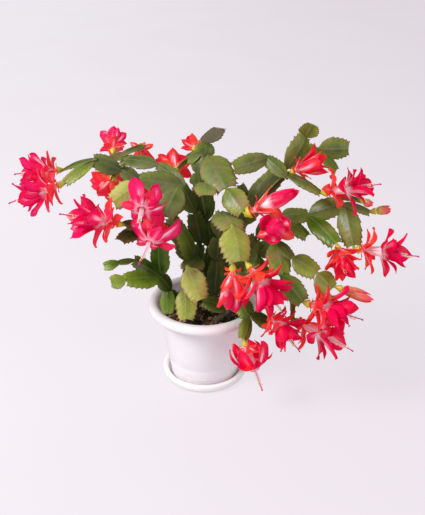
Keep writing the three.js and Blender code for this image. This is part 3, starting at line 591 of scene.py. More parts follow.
# ---- blooms ----
# The forms of a bloom, as in the model. Outer petals stand on the tube near the ovary and inner
# ones at its throat, two kinds by turns, and a third kind fills the gaps between the inner ones.
# `middle` petals stand half way up the tube of the fuller forms. A kind is (length, half width,
# angle from the axis at the root and at the tip in degrees). Lengths and places are shares of the
# bloom's length. `girth` is the tube's, `lean` how much further the upper petals open, and a
# `haste` below 1 bends the inner petals near their roots. `cup` is how round they are cupped,
# `style` how far the style reaches, if it shows, and `root` how white the petals are below.
Form = namedtuple("Form", "outer throat middle inner third girth cup lean haste style root")
FORMS = {
    "loose": Form(((0.38, 7.0, 80, 104), (0.48, 8.2, 54, 76)), 0.5, None,
                  ((0.46, 9.4, 68, 92), (0.54, 9.8, 12, 36)), (0.46, 7.8, 34, 56),
                  1.16, 15, 14, 1, 1.16, 0.9),
    "forward": Form(((0.36, 7.0, 82, 108), (0.46, 8.2, 54, 78)), 0.42, (0.44, 8.2, 60, 92),
                    ((0.56, 9.6, 54, 34), (0.6, 9.8, 9, 26)), (0.54, 8.0, 28, 42),
                    1.08, 15, 10, 1, 1.14, 0.8),
    "cup": Form(((0.36, 7.0, 78, 104), (0.48, 8.4, 50, 74)), 0.42, (0.46, 8.6, 54, 80),
                ((0.58, 9.4, 56, 14), (0.6, 9.2, 32, 18)), (0.52, 8.0, 44, 20),
                1, 13, 6, 1, 0.9, 0.5),
    "bell": Form(((0.54, 9.6, 82, 50), (0.58, 10.0, 60, 36)), 0.42, (0.52, 9.0, 56, 34),
                 ((0.54, 8.4, 36, 14), (0.58, 8.2, 18, 4)), (0.5, 7.0, 26, 8),
                 1, 13, 4, 1, 0.9, 0.3),
    "ball": Form(((0.26, 5.6, 80, 112), (0.36, 6.8, 62, 96)), 0.46, None,
                 ((0.58, 11.4, 76, -34), (0.58, 11.2, 50, -72)), (0.54, 10.4, 30, -96),
                 1, 10, 0, 1, None, 0.4),
    "swept": Form(((0.24, 5.6, 66, 84), (0.34, 6.8, 50, 62)), 0.8, (0.5, 7.4, 56, 104),
                  ((0.74, 9.4, 120, 172), (0.82, 10.2, 96, 163)), (0.4, 6.8, 76, 150),
                  1, 14, 0, 0.4, 1.42, 0.45),
    "half": Form(((0.32, 4.2, 58, 80), (0.44, 5.2, 34, 28)), 0.32, None,
                 ((0.61, 8.4, 24, -27), (0.66, 8.4, 24, -27)), None, 1, 6.5, 0, 1, None, 1.15),
    "plump": Form(((0.3, 5.8, 56, 50), (0.42, 6.6, 36, 20)), 0.34, (0.52, 9.0, 46, 4),
                  ((0.58, 9.6, 54, -34), (0.62, 8.8, 26, -24)), (0.58, 9.0, 40, -34),
                  1, 8, 0, 1, None, 0.7),
    "fan": Form(((0.26, 4.0, 64, 84), (0.38, 5.0, 46, 50)), 0.3, None,
                ((0.66, 9.0, 36, 20), (0.68, 8.4, 9, 4)), None, 1, 9, 6, 1, 0.6, 0.3),
}
OUTER_AT = 0.2  # where the outer petals stand, as a share of a bloom's length
# A bud's petals: (turn, place along the body, length, quarter width, angles at root and tip).
BUD_TIERS = ((0, 0.02, 0.6, 3.6, 30, -26), (60, 0.03, 0.95, 4.4, 24, -20))
# A bud's body and the tube of a bloom from its outer petals to its throat.
BUD_BODY = ((0.0, 0.45), (0.1, 0.72), (0.28, 0.96), (0.5, 0.94), (0.7, 0.74), (0.86, 0.44),
            (0.95, 0.22), (1.0, 0.04))
TUBE = ((0.25, 3.5, 0.4), (0.6, 3.9, 0.6), (1.0, 4.5, 0.8))
PETAL_COLUMNS = (-1, -0.86, -0.6, -0.3, 0, 0.3, 0.6, 0.86, 1)
PETAL_ROWS = 15
PETAL_TURNS = (30, 90)
MIDDLE_TURN = 45
PETAL_HALF = 0.34
STAMENS = 13
ANTHER = ((-0.6, 0.2), (-0.2, 0.5), (0.3, 0.62), (0.8, 0.52), (1.25, 0.22))


def petal_width(share, widest):
    """Half width of a petal along its length, as a share of its widest."""
    if share <= widest:
        return 0.42 + 0.58 * sin(pi / 2 * share / widest) ** 1.2
    return max(0.02, 1 - ((share - widest) / (1 - widest)) ** 2.3)


def add_petal(skin, foot, axis, out, at, kind, widest, cup, haste, look, chance, rng):
    """A petal as a thin closed blade that bends from one angle to another away from the axis."""
    reach, half, root, last = kind
    across = axis.cross(out)
    free = clamp((last + 30) / 40, 0.2, 1.0)  # a petal that closes over the bloom lies smoother
    twist = radians(rng.uniform(-28, 28)) * free
    bend = rng.uniform(-0.12, 0.12) * free
    wave_phase = rng.uniform(0, 6.28)
    wave = half * rng.uniform(0.1, 0.24) * free
    curl = rng.uniform(-12, 44) * free
    (up, away), drift = at, 0.0
    rings = []

    def angle_at(share):
        return radians(root + (last - root) * share ** haste + curl * share ** 5)

    for row in range(PETAL_ROWS + 1):
        share = row / PETAL_ROWS
        if row:
            middle_angle = angle_at(share - 0.5 / PETAL_ROWS)
            up += cos(middle_angle) * reach / PETAL_ROWS
            away += sin(middle_angle) * reach / PETAL_ROWS
            drift += bend * reach / PETAL_ROWS * 2 * share
        centre = foot + axis * up + out * away + across * drift
        lift = between(out, -axis, angle_at(share)).normalized()
        sideways = between(across, lift, twist * share)
        normal = between(lift, -across, twist * share)
        w = half * petal_width(share, widest)
        upper = []
        lower = []
        for v in PETAL_COLUMNS:
            arc = v * w / cup
            flow = wave * sin(wave_phase + 9 * share + (2.1 if v > 0 else 0)) * v * v * share
            crease = 0.1 * half * exp(-((v / 0.16) ** 2)) * (1 - share * 0.6)
            point = centre + sideways * (cup * sin(arc)) - normal * (cup * (1 - cos(arc)) + flow - crease)
            place = (abs(v), share, 0.5 + v / 2, chance)
            if abs(v) == 1:
                upper.append(skin.add(point, place, look))
                continue
            thick = PETAL_HALF * (1 - 0.6 * abs(v)) * (1 - 0.5 * share)
            upper.append(skin.add(point + normal * thick, place, look))
            lower.append(skin.add(point - normal * thick, place, look))
        rings.append(upper + lower[::-1])
    skin.rings(rings)


def add_lathe(skin, foot, axes, stations, look, ribs=0.0, sides=22):
    """A turned form on a bloom's axis, through (place along the axis, radius, share) stations."""
    axis, e, g = axes
    girths = [1 + ribs * cos(6 * round_at(i, sides)) for i in range(sides)]
    skin.rings([skin.ring(foot + axis * s, e, g, [r * girth for girth in girths], share, look[3], look)
                for s, r, share in stations])


def add_ring(skin, start, axes, at, kind, turn, colour, shape, rng):
    """Three petals of one kind round the axis. `colour` is (hue, whiteness of the root, rosiness),
    `shape` (where they are widest, cup, lean, haste)."""
    axis, e, g = axes
    widest, cup, lean, haste = shape
    reach, half, root, last = kind
    hue, white, rosy = colour
    loose = 1.0 if last > -10 else 0.35
    for degrees in (turn, turn + 120, turn + 240):
        out = between(e, g, radians(degrees + rng.uniform(-7, 7)))
        tint = clamp(hue + rng.uniform(-0.12, 0.12))
        shift = rng.random()
        chance = rng.random()
        opened = (reach * rng.uniform(0.9, 1.06), half * rng.uniform(0.92, 1.08),
                  root + rng.uniform(-6, 6) * loose, last + lean * out.z + rng.uniform(-9, 9) * loose)
        add_petal(skin, start, axis, out, at, opened, widest + rng.uniform(-0.05, 0.05), cup, haste,
                  (tint, white, shift, rosy), chance, rng)


def add_bud(name, start, axes, length, rng):
    body = length - BLOOM_FOOT + BUD_BEYOND
    girth = (BUD_GIRTH + body * BUD_SWELL) * (SHORT_BUD_GIRTH if body < SHORT_BUD else 1.0)
    petals = Skin()
    core = [(BLOOM_FOOT + body * share, girth * radius, share) for share, radius in BUD_BODY]
    add_lathe(petals, start, axes, core, (0.3, -1.0, rng.random(), rng.random()))
    for turn, at, reach, half, root, last in BUD_TIERS:
        kind = (reach * body, half * girth / 4, root, last)
        add_ring(petals, start, axes, (BLOOM_FOOT + at * body, girth * 0.5), kind, turn,
                 (0.25, -1.0, 0.0), (0.45, girth, 0, 1), rng)
    ride(petals.piece(name + "_petals", [PETAL]), "bud", name)


def add_heart(name, start, axes, base, throat, reach, rng):
    """A bloom's style and stamens."""
    axis, e, g = axes
    heart = Skin()
    droop = axis * axis.z - UP
    stations = []
    for k in range(13):
        share = k / 12
        s = mix(base, reach, share)
        radius = mix(0.62, 0.5, share)
        if k >= 10:  # the stigma
            radius = (0.62, 1.0, 0.45)[k - 10]
            s = reach - (1.9, 0.9, 0.0)[k - 10]
        stations.append((start + axis * s + droop * (2.4 * share * share), radius))
    add_tube(heart, stations, (1.0, 0.0, 0.0, 0.0), 9)
    for k in range(STAMENS):
        out = between(e, g, 2 * pi * (k * 0.618))
        spread = rng.uniform(0.8, 2.0)
        end = throat + (reach - throat) * rng.uniform(0.5, 0.82)
        stations = []
        for m in range(8):
            share = m / 7
            away = mix(1.5, spread, share) + 0.5 * sin(3 * share + k)
            place = start + axis * mix(base, end, share) + out * away + droop * (2.0 * share * share)
            stations.append((place, 0.2))
        add_tube(heart, stations, (0.0, 1.0, 0.0, 0.0), 5)
        tip = stations[-1][0]
        d = (tip - stations[-2][0]).normalized()
        add_tube(heart, [(tip + d * (h * 0.9), r) for h, r in ANTHER], (0.0, 0.0, 1.0, 0.0), 6)
    ride(heart.piece(name + "_stamens", [HEART]), "petal")


def add_bloom(bloom, start, rng):
    """The petals of a bloom as one piece and its style and stamens as another."""
    length = (bloom.tip - start).length
    axis = (bloom.tip - start).normalized()
    e = between(*sides_of(axis), radians(bloom.turn))
    axes = (axis, e, axis.cross(e))
    if bloom.form == "bud":
        add_bud(bloom.name, start, axes, length, rng)
        return
    form = FORMS[bloom.form]
    outer_at = max(BLOOM_FOOT + 0.6, length * OUTER_AT)
    throat = length * form.throat
    grown = bloom.size * length
    slender = bloom.size * min(1.0, 0.3 + 0.7 * length / FULL_BLOOM)
    rosy = bloom.rosy
    pale = form.root * (1.0 - bloom.coral * 0.6)
    hue = 0.92 - 0.7 * bloom.coral
    petals = Skin()

    tube = [(BLOOM_FOOT - 0.2, 1.7, 0.0), (BLOOM_FOOT + 0.8, 2.3, 0.04), (outer_at, 3.1 * form.girth, 0.2)]
    tube += [(mix(outer_at, throat, share), radius * form.girth, along) for share, radius, along in TUBE]
    tube += [(throat + 1.8, 4.9, 0.95), (throat + 1.9, 4.6, 1.0), (throat - 0.5, 3.8, 1.0),
             (mix(outer_at, throat, 0.5), 2.6, 1.0), (mix(outer_at, throat, 0.3), 0.5, 1.0)]
    add_lathe(petals, start, axes, tube, (0.9, 2.0, rng.random(), rng.random()), ribs=0.04)

    spread = (0.4, 9, form.lean, 1)
    cupped = (0.56, form.cup, form.lean, form.haste)
    scale = (0.13 * length, 2.6 * slender, 64, 102)
    add_ring(petals, start, axes, (length * 0.14, 2.3), scale, 0, (0.0, 0.0, 0.0), spread, rng)

    def tier(kind, at, turn, colour, shape):
        reach, half, root, last = kind
        add_ring(petals, start, axes, at, (reach * grown, half * slender, root, last), turn, colour,
                 shape, rng)

    for k, kind in enumerate(form.outer):
        tier(kind, (outer_at + 0.5, 2.8), PETAL_TURNS[k], (0.15 + 0.12 * k, 0.1, 0.35 * rosy), spread)
    if form.middle:
        tier(form.middle, (mix(outer_at, throat, 0.6), 3.4), MIDDLE_TURN,
             (0.45 - 0.3 * bloom.coral, 0.2, rosy), spread)
    for k, kind in enumerate(form.inner):
        tier(kind, (throat - 0.5, 4.2), PETAL_TURNS[k], (hue + 0.06 * k, pale, rosy), cupped)
    if form.third:
        tier(form.third, (throat - 0.2, 3.8), 0, (hue + 0.08, pale, rosy), cupped)
    ride(petals.piece(bloom.name + "_petals", [PETAL]), "petal", bloom.name)
    if form.style:
        base = max(throat - length * 0.12, BLOOM_FOOT)
        add_heart(bloom.name, start, axes, base, throat, length * form.style, rng)


# ---- pot, saucer and soil ----
POT_STEPS = 128
SOIL_STEPS = 160
SOIL_RINGS = 52
CHIPS = 900


def turned_piece(name, profile, steps, material, top=None):
    """A closed turned form through (radius, height) points that start and end on the axis. A height
    of None is taken from `top` at that place."""
    points = []
    faces = []
    inner = profile[1:-1]
    n = len(inner)
    for i in range(steps):
        t = round_at(i, steps)
        for r, z in inner:
            x, y = r * cos(t), r * sin(t)
            points.append((x, y, top(x, y) if z is None else z))
    low = len(points)
    points += [(0, 0, profile[0][1]), (0, 0, profile[-1][1])]
    for i in range(steps):
        a, b = i * n, ((i + 1) % steps) * n
        faces.append((low, b, a))
        faces.append((low + 1, a + n - 1, b + n - 1))
        for k in range(n - 1):
            faces.append((a + k, b + k, b + k + 1, a + k + 1))
    return new_piece(name, points, faces, [material])


def rounded(points, radius, steps=5):
    """The profile with each inner corner replaced by a small curve."""
    smooth = [points[0]]
    for before, corner, after in zip(points, points[1:], points[2:]):
        c = Vector(corner)
        a, b = (c + (end - c).normalized() * min(radius, (end - c).length * 0.45)
                for end in (Vector(before), Vector(after)))
        for k in range(steps + 1):
            t = k / steps
            smooth.append(tuple(a * (1 - t) ** 2 + c * (2 * t * (1 - t)) + b * t ** 2))
    smooth.append(points[-1])
    return smooth


def make_saucer():
    profile = rounded([(0, 0), (44.0, 0), (47.9, 1.2), (50.0, 4.4), (SAUCER_RADIUS, 8.0), (49.9, 10.4),
                       (47.4, SAUCER_HEIGHT), (44.2, 9.9), (42.6, 3.6), (41.4, SAUCER_FLOOR),
                       (0, SAUCER_FLOOR)], 2.4)
    ride(turned_piece("saucer_fine", profile, POT_STEPS, SAUCER_PLASTIC), "saucer_plastic", "saucer")


def make_pot():
    inner_floor = POT_BOTTOM + POT_FLOOR
    neck = POT_NECK_HEIGHT - 3
    slope = (POT_NECK_RADIUS - POT_FOOT_RADIUS) / (neck - POT_BOTTOM - 1.2)

    def wall(z, groove=0.0):
        return POT_FOOT_RADIUS + slope * (z - POT_BOTTOM - 1.2) - groove, z

    profile = [(0, POT_BOTTOM), (POT_FOOT_RADIUS - 1.4, POT_BOTTOM),
               (POT_FOOT_RADIUS - 0.3, POT_BOTTOM + 0.4), (POT_FOOT_RADIUS, POT_BOTTOM + 1.4)]
    # three shallow mould rings run round the wall above the foot
    for z in (11.0, 14.5, 26.0):
        profile += [wall(z - 0.8), wall(z, 0.22), wall(z + 0.8)]
    profile += [wall(z) for z in (40, 60, 74, neck - 2)]
    profile += [(50.15, neck + 0.4), (50.7, neck + 2.4), (51.9, POT_NECK_HEIGHT + 0.2),
                (54.2, POT_NECK_HEIGHT + 0.7), (57.0, POT_NECK_HEIGHT + 1.2)]
    for k in range(31):
        t = radians(mix(-84, 168, k / 30))
        profile.append((RIM_RADIUS + RIM_ROLL * cos(t), POT_HEIGHT - RIM_ROLL + RIM_ROLL * sin(t)))
    profile += [(51.6, 92.0), (50.3, 88.8), (POT_NECK_RADIUS - POT_WALL, neck),
                (POT_FOOT_RADIUS - POT_WALL, inner_floor), (0, inner_floor)]
    pot = turned_piece("pot_fine", profile, POT_STEPS, POT_PLASTIC)
    drill_holes(pot)
    ride(pot, "pot_plastic", "pot")


def drill_holes(pot):
    """The drain holes in the pot's floor."""
    for i in range(DRAIN_HOLES):
        t = round_at(i + 0.5, DRAIN_HOLES)
        place = Vector((DRAIN_CIRCLE_RADIUS * cos(t), DRAIN_CIRCLE_RADIUS * sin(t), POT_BOTTOM)) * MM
        bpy.ops.mesh.primitive_cylinder_add(vertices=32, radius=DRAIN_HOLE_RADIUS * MM, depth=12 * MM,
                                            location=place)
        cut = pot.modifiers.new("drain", "BOOLEAN")
        cut.operation = "DIFFERENCE"
        cut.solver = "MANIFOLD"
        cut.object = bpy.context.object
    drills = [cut.object for cut in pot.modifiers]
    graph = bpy.context.evaluated_depsgraph_get()
    mesh = bpy.data.meshes.new_from_object(pot.evaluated_get(graph))
    pot.modifiers.clear()
    pot.data = mesh
    for drill in drills:
        bpy.data.objects.remove(drill, do_unlink=True)


def soil_height(x, y):
    """Height of the soil's surface, in mm: a low mound with clods."""
    r = hypot(x, y)
    mound = 1.6 * (1 - (r / 48) ** 2)
    clods = (1.1 * sin(x * 0.31 + 1.3) * cos(y * 0.27 - 0.4)
             + 0.7 * sin(x * 0.83 + y * 0.55) + 0.45 * sin(x * 1.7 - y * 1.9 + 2.0)
             + 0.3 * sin(x * 3.1 + 0.7) * sin(y * 2.9))
    return SOIL_TOP - 0.9 + mound + clods * (0.75 if r < 42 else 0.75 * clamp((48.5 - r) / 6.5))


def make_soil():
    floor = POT_BOTTOM + POT_FLOOR + 0.3
    profile = [(0, floor), (POT_FOOT_RADIUS - POT_WALL - 0.6, floor),
               (POT_NECK_RADIUS - POT_WALL - 0.5, POT_NECK_HEIGHT - 3)]
    profile += [(r, None) for r in np.linspace(SOIL_RADIUS, 0.8, SOIL_RINGS)]
    profile.append((0, soil_height(0, 0)))
    ride(turned_piece("soil_fine", profile, SOIL_STEPS, SOIL, soil_height), "soil", "soil")


def make_chips():
    """Bark chips and crumbs on the soil, each a small lump with flat faces."""
    rng = random.Random(11)
    chips = Skin()
    roots = [root for root, _ in STEMS.values()]
    made = 0
    while made < CHIPS:
        r = 48.6 * sqrt(rng.random())
        t = rng.uniform(0, 2 * pi)
        x, y = r * cos(t), r * sin(t)
        if any(hypot(x - rx, y - ry) < 4.4 for rx, ry in roots):
            continue
        made += 1
        big = rng.random() < 0.16
        size = rng.uniform(1.6, 3.2) if big else rng.uniform(0.5, 1.4)
        if r + size > SOIL_RADIUS - 0.1:
            continue
        flat = size * rng.uniform(0.35, 0.8)
        tone = clamp(rng.gauss(0.58 if big else 0.36, 0.28))
        look = (tone, rng.random(), rng.random(), 1.0)
        spin = rng.uniform(0, pi)
        tilt = Vector((rng.uniform(-0.5, 0.5), rng.uniform(-0.5, 0.5), 1)).normalized()
        e, g = sides_of(tilt)
        e, g = between(e, g, spin), between(g, -e, spin)
        middle = Vector((x, y, soil_height(x, y) + flat * 0.35))
        stretch = rng.uniform(1.0, 1.9)
        sides = rng.choice((5, 6, 7))
        rings = []
        for height, radius in ((-0.5, 0.6), (-0.1, 1.0), (0.35, 0.85), (0.55, 0.4)):
            radii = [size * radius * rng.uniform(0.75, 1.15) for _ in range(sides)]
            rings.append(chips.ring(middle + tilt * (height * flat * 1.6), e * stretch, g, radii, 0, 0, look))
        chips.rings(rings)
    ride(chips.piece("bark_chips", [BARK_CHIPS], smooth=False), "soil")


# ---- materials ----
class Value:
    """A number or colour in a material. Sums and products of it are nodes of their own."""

    def __init__(self, paint, socket):
        self.paint = paint
        self.socket = socket

    def __add__(self, other):
        return self.paint.math("ADD", self, other)

    def __sub__(self, other):
        return self.paint.math("SUBTRACT", self, other)

    def __mul__(self, other):
        return self.paint.math("MULTIPLY", self, other)

    def held(self):
        """The same number, kept between 0 and 1."""
        self.socket.node.use_clamp = True
        return self


def rgba(colour):
    """A solid colour from red, green and blue in thousandths."""
    return [c / 1000 for c in colour] + [1.0]


class Paint:
    """A node material: the layers of its colour, and short calls for the nodes that it needs."""

    def __init__(self, name, roughness, **shader):
        self.material = bpy.data.materials.new(name)
        self.material.use_nodes = True
        self.tree = self.material.node_tree
        self.shader = self.tree.nodes["Principled BSDF"].inputs
        self.shader["Roughness"].default_value = roughness
        for socket, value in shader.items():
            self.shader[socket.replace("_", " ")].default_value = value
        self.place = self.spot()
        self.colour = None

    def put(self, socket, value):
        if isinstance(value, Value):
            self.tree.links.new(value.socket, socket)
        elif socket.type == "RGBA":
            socket.default_value = rgba(value)
        else:
            socket.default_value = value

    def node(self, kind, inputs, output=0, **settings):
        """The value that a new node gives."""
        node = self.tree.nodes.new("ShaderNode" + kind)
        for key, value in settings.items():
            setattr(node, key, value)
        for key, value in inputs.items():
            self.put(node.inputs[key], value)
        return Value(self, node.outputs[output])

    def mark(self, label):
        """The four numbers of one of the marks that the mesh carries."""
        colour = self.node("Attribute", {}, "Color", attribute_name=label)
        split = self.node("SeparateColor", {0: colour})
        sockets = (*split.socket.node.outputs, colour.socket.node.outputs["Alpha"])
        return [Value(self, socket) for socket in sockets]

    def spot(self, stretch=(1, 1, 1)):
        """The place on the object, in metres."""
        place = self.node("TexCoord", {}, "Object")
        return self.node("Mapping", {"Vector": place, "Scale": stretch})

    def noise(self, scale, detail, rough=0.55, at=None):
        inputs = {"Vector": at or self.place, "Scale": scale, "Detail": detail, "Roughness": rough}
        return self.node("TexNoise", inputs, "Fac")

    def cells(self, scale):
        return self.node("TexVoronoi", {"Vector": self.place, "Scale": scale}, "Distance")

    def math(self, operation, a, b=0.0):
        return self.node("Math", {0: a, 1: b}, operation=operation)

    def step(self, value, low, high, top=1.0, base=0.0):
        """The value taken smoothly from low..high to base..top."""
        inputs = dict(enumerate((value, low, high, base, top)))
        return self.node("MapRange", inputs, interpolation_type="SMOOTHSTEP")

    def blend(self, share, a, b):
        return self.node("Mix", {"Factor": share, 6: a, 7: b}, 2, data_type="RGBA")

    def ramp(self, value, *stops):
        """A colour by value, through (value, red, green, blue) stops."""
        colour = self.node("ValToRGB", {0: value})
        band = colour.socket.node.color_ramp
        while len(band.elements) < len(stops):
            band.elements.new(0.5)
        for element, stop in zip(band.elements, stops):
            element.position = stop[0]
            element.color = rgba(stop[1:])
        return colour

    def lay(self, share, colour):
        """A share of another colour over the colour so far."""
        self.colour = self.blend(share, self.colour, colour)

    def glow(self):
        """Light of the same colour as the paint so far."""
        self.put(self.shader["Emission Color"], self.colour)

    def bump(self, height, strength, distance):
        inputs = {"Strength": strength, "Distance": distance, "Height": height}
        self.put(self.shader["Normal"], self.node("Bump", inputs))

    def done(self):
        self.put(self.shader["Base Color"], self.colour)
        return self.material


def make_leaf():
    p = Paint("cactus_leaf", 0.42, Specular_IOR_Level=0.42, Coat_Weight=0.15, Coat_Roughness=0.26)
    across, along, _, _ = p.mark("place")
    tone, grey, brown, chance = p.mark("look")
    patch = p.noise(55, 3)
    fine = p.noise(420, 4, 0.6)
    # painted shade and light: a blade is deeper green along its middle and lighter towards its margin and its
    # end, so that it looks rounded
    shade = (tone + (patch - 0.5) * 0.5 + (fine - 0.5) * 0.16
             + p.step(across, 0.1, 0.95, 0.09, -0.09) + p.step(along, 0.1, 1.0, 0.06, -0.04))
    p.colour = p.ramp(shade, (0, 8, 18, 0), (0.25, 44, 80, 2),
                      (0.5, 156, 220, 12), (0.75, 360, 420, 44), (1, 600, 580, 150))
    # without wax the green is fresher, with it greyer and at last nearly grey
    p.lay(p.step(grey, 0.32, 0.12, 0.85),
          p.ramp(shade, (0, 4, 22, 0), (0.25, 24, 78, 1),
                 (0.5, 92, 205, 6), (0.75, 215, 360, 30), (1, 390, 500, 100)))
    p.lay(grey * p.step(p.noise(38, 2), 0.3, 0.7, 0.58, 0.18), (270, 270, 115))
    p.lay(p.step(grey, 0.9, 1.6, 0.75), (330, 310, 240))
    # yellow and reddish where the segment has aged, in broad patches
    p.lay(p.step(p.noise(30, 2), 0.5, 0.72) * brown * 0.4, (430, 330, 70))
    blush = p.noise(48, 3, at=p.spot((1, 1, 1.4)))
    p.lay(p.step(blush, 0.52, 0.7) * brown * 0.6, (330, 175, 115))
    # the midrib, with a dark line of painted shade in its crease on some, and, fainter, the veins that leave
    # it forwards
    p.lay(p.step(across, 0.12, 0.03, 0.42), p.ramp(shade, (0, 90, 190, 30), (1, 500, 540, 200)))
    p.lay(p.step(across, 0.035, 0.0) * p.step(chance, 0.3, 0.7, 0.65), (25, 45, 8))
    veins = p.math("SINE", (along * 6.0 - across * 1.8 + patch * 1.2) * 6.283)
    p.lay(p.step(veins, 0.8, 1.0, 0.12), (30, 60, 20))
    # the margin: a thin pale line, and reddish brown where the segment is old
    p.lay(p.step(across, 0.955, 0.995, 0.5), (270, 240, 110))
    worn = p.step(across + (fine - 0.5) * 0.35, 0.8, 1.0) * (brown + 0.25).held()
    worn = worn * p.step(along, 0.25, 0.85, 1.0, 0.35)
    end = p.step(along, 0.8, 1.0, 0.8) * brown * p.step(across, 0.2, 0.8)
    p.lay(p.math("MAXIMUM", worn, end) * 0.85, (240, 95, 60))
    p.lay(p.step(p.cells(520), 0.1, 0.05, 0.25), (20, 40, 15))
    # a waxy segment is duller
    p.put(p.shader["Roughness"], p.step(fine, 0.2, 0.8, 0.42, 0.26) + grey * 0.22)
    p.bump(fine * 0.4 + veins * 0.12 + patch * 1.6, 0.4, 0.001)
    return p.done()


def make_bark():
    p = Paint("old_stem", 0.7)
    grain = p.noise(420, 4, at=p.spot((1, 1, 0.35)))
    p.colour = p.ramp(grain, (0.3, 45, 40, 22), (0.55, 120, 105, 55),
                      (0.8, 220, 180, 110))
    p.bump(grain, 0.6, 0.0008)
    return p.done()


def make_ovary():
    p = Paint("ovary", 0.38)
    _, along, _, _ = p.mark("place")
    mottle = p.noise(300, 2)
    p.colour = p.ramp(along + (mottle - 0.5) * 0.3, (0, 190, 230, 40), (0.35, 520, 470, 40),
                      (0.8, 760, 600, 50), (1, 840, 420, 60))
    p.bump(mottle, 0.2, 0.0004)
    return p.done()


def make_petal():
    p = Paint("petal", 0.36, Subsurface_Weight=0.28, Subsurface_Scale=0.005, Specular_IOR_Level=0.3,
              Subsurface_Radius=(1.0, 0.1, 0.16), Coat_Weight=0.04, Coat_Roughness=0.2,
              Emission_Strength=0.1)
    across, along, side, chance = p.mark("place")
    hue, pale, shift, rosy = p.mark("look")
    cloud = p.noise(90, 2)
    # from coral to crimson; the tips of the petals run to coral
    deep = (hue + (cloud - 0.5) * 0.5).held()
    deep = (deep - p.step(along, 0.55, 1.0, 0.14)).held()
    p.colour = p.ramp(deep, (0, 950, 85, 28), (0.35, 950, 20, 30),
                      (0.7, 920, 0, 50), (1, 800, 0, 70))
    p.lay(rosy * 0.3, (985, 35, 320))
    # fine streaks along the petal, dark and light
    streaks = p.noise(1.0, 3, at=p.node("CombineXYZ", {0: side * 26.0, 1: along * 2.0, 2: chance * 40.0}))
    p.lay(p.step(streaks, 0.5, 0.75, 0.35), (560, 1, 22))
    p.lay(p.step(streaks, 0.5, 0.25, 0.3), (960, 60, 140))
    # the edge is deeper, partly the petal's own colour and partly painted shade; the middle of an inner petal
    # is lighter, and its root nearly white
    p.lay(p.step(across, 0.5, 1.0, 0.9) * hue, (570, 0, 50))
    # painted highlight: the lighter middle of some inner petals is a pink sheen with a near-white core
    light = (p.step(across + (streaks - 0.5) * 0.9, 0.36, 0.04) * p.step(along, 0.9, 0.4)
             * p.step(shift, 0.25, 0.9, 0.92))
    p.lay(light * p.step(hue, 0.0, 0.5, 1.0, 0.35),
          p.blend(rosy, (970, 400, 500), (985, 520, 700)))
    p.lay(p.math("POWER", light, 2.5) * 0.75, (990, 720, 790))
    white = (985, 850, 890)
    near = along - p.step(pale, 0.86, 0.94, 0.14)
    p.lay((p.step(near, 0.26, 0.03) * pale).held() * 0.92, white)
    # the tube is white and pink with red lines, and redder at both ends
    tube = p.ramp(streaks, (0.35, *white), (0.58, 960, 420, 500), (0.78, 900, 80, 160))
    tube = p.blend(p.step(along, 0.3, 0.0, 0.8), tube, (880, 200, 120))
    tube = p.blend(p.step(along, 0.82, 0.94, 0.9), tube, (860, 60, 170))
    p.lay(p.step(pale, 1.2, 1.6), tube)
    # a bud is yellow-green at its foot
    p.lay(p.step(pale, -0.4, -0.8),
          p.ramp(along + (streaks - 0.5) * 0.35, (0, 480, 480, 70), (0.24, 620, 460, 110),
                 (0.42, 800, 210, 150), (1, 820, 60, 85)))
    # painted light: the petals glow faintly in their own colour, so that their shaded parts stay bright and
    # deep red
    p.glow()
    p.put(p.shader["Roughness"], p.step(streaks, 0.2, 0.8, 0.36, 0.2))
    p.bump(streaks + cloud * 0.4, 0.25, 0.0005)
    return p.done()


def make_heart():
    p = Paint("style_and_stamens", 0.4, Subsurface_Weight=0.1, Subsurface_Scale=0.002,
              Emission_Strength=0.12)
    _, along, _, _ = p.mark("place")
    style, filament, anther, _ = p.mark("look")
    grain = p.noise(900, 2)
    p.colour = p.blend(style, (900, 620, 680),
                       p.ramp(along, (0, 900, 460, 580), (0.7, 620, 20, 220),
                              (1, 480, 4, 200)))
    p.lay(filament * p.step(along, 0.3, 1.0, 0.9, 0.5), (920, 800, 800))
    p.lay(anther, p.ramp(grain, (0.3, 820, 620, 220), (0.7, 920, 800, 460)))
    # painted light: the style and stamens glow faintly in their own colour, so that they stay bright inside
    # the bloom
    p.glow()
    p.bump(grain, 0.3, 0.0003)
    return p.done()


def make_plastic(name, base, rough):
    p = Paint(name, rough, Subsurface_Weight=0.06, Subsurface_Scale=0.004)
    broad = p.noise(22, 3)
    fine = p.noise(900, 3)
    p.colour = p.blend(p.step(broad, 0.3, 0.7, 0.5), base, [c * 0.93 for c in base])
    # rare specks, and dust where the moulding is worn
    speck = p.step(p.cells(210), 0.055, 0.035, 0.4) * p.step(p.noise(60, 1), 0.56, 0.64)
    p.lay(speck, (300, 260, 240))
    dust = p.noise(46, 5, 0.7, at=p.spot((1, 1, 3)))
    p.lay(p.step(dust, 0.58, 0.8, 0.18), (550, 500, 500))
    p.put(p.shader["Roughness"], p.step(broad, 0.2, 0.8, rough + 0.08, rough - 0.06))
    p.bump(fine + broad * 2.0, 0.12, 0.0004)
    return p.done()


def make_earth():
    p = Paint("potting_soil", 0.95)
    tone = p.noise(520, 6, 0.7) + p.cells(300) * 0.35
    p.colour = p.ramp(tone, (0.35, 6, 4, 3), (0.6, 22, 14, 10),
                      (0.75, 60, 36, 22), (0.95, 150, 85, 45))
    p.bump(tone, 1.0, 0.0025)
    return p.done()


def make_bark_chips():
    p = Paint("bark_chips", 0.85)
    tone, _, _, _ = p.mark("look")
    grain = p.noise(700, 4, 0.65, at=p.spot((1, 1, 2.5)))
    p.colour = p.ramp(tone + (grain - 0.5) * 0.5, (0, 10, 6, 4), (0.3, 42, 22, 12),
                      (0.55, 260, 120, 50), (0.75, 480, 280, 130), (1, 680, 500, 320))
    p.bump(grain, 0.9, 0.001)
    return p.done()


FLOOR_GLOW = 0.76  # how much of the floor's paleness is its own
FLOOR_SHADE = 0.82  # how far the floor's paint is darkened under that glow


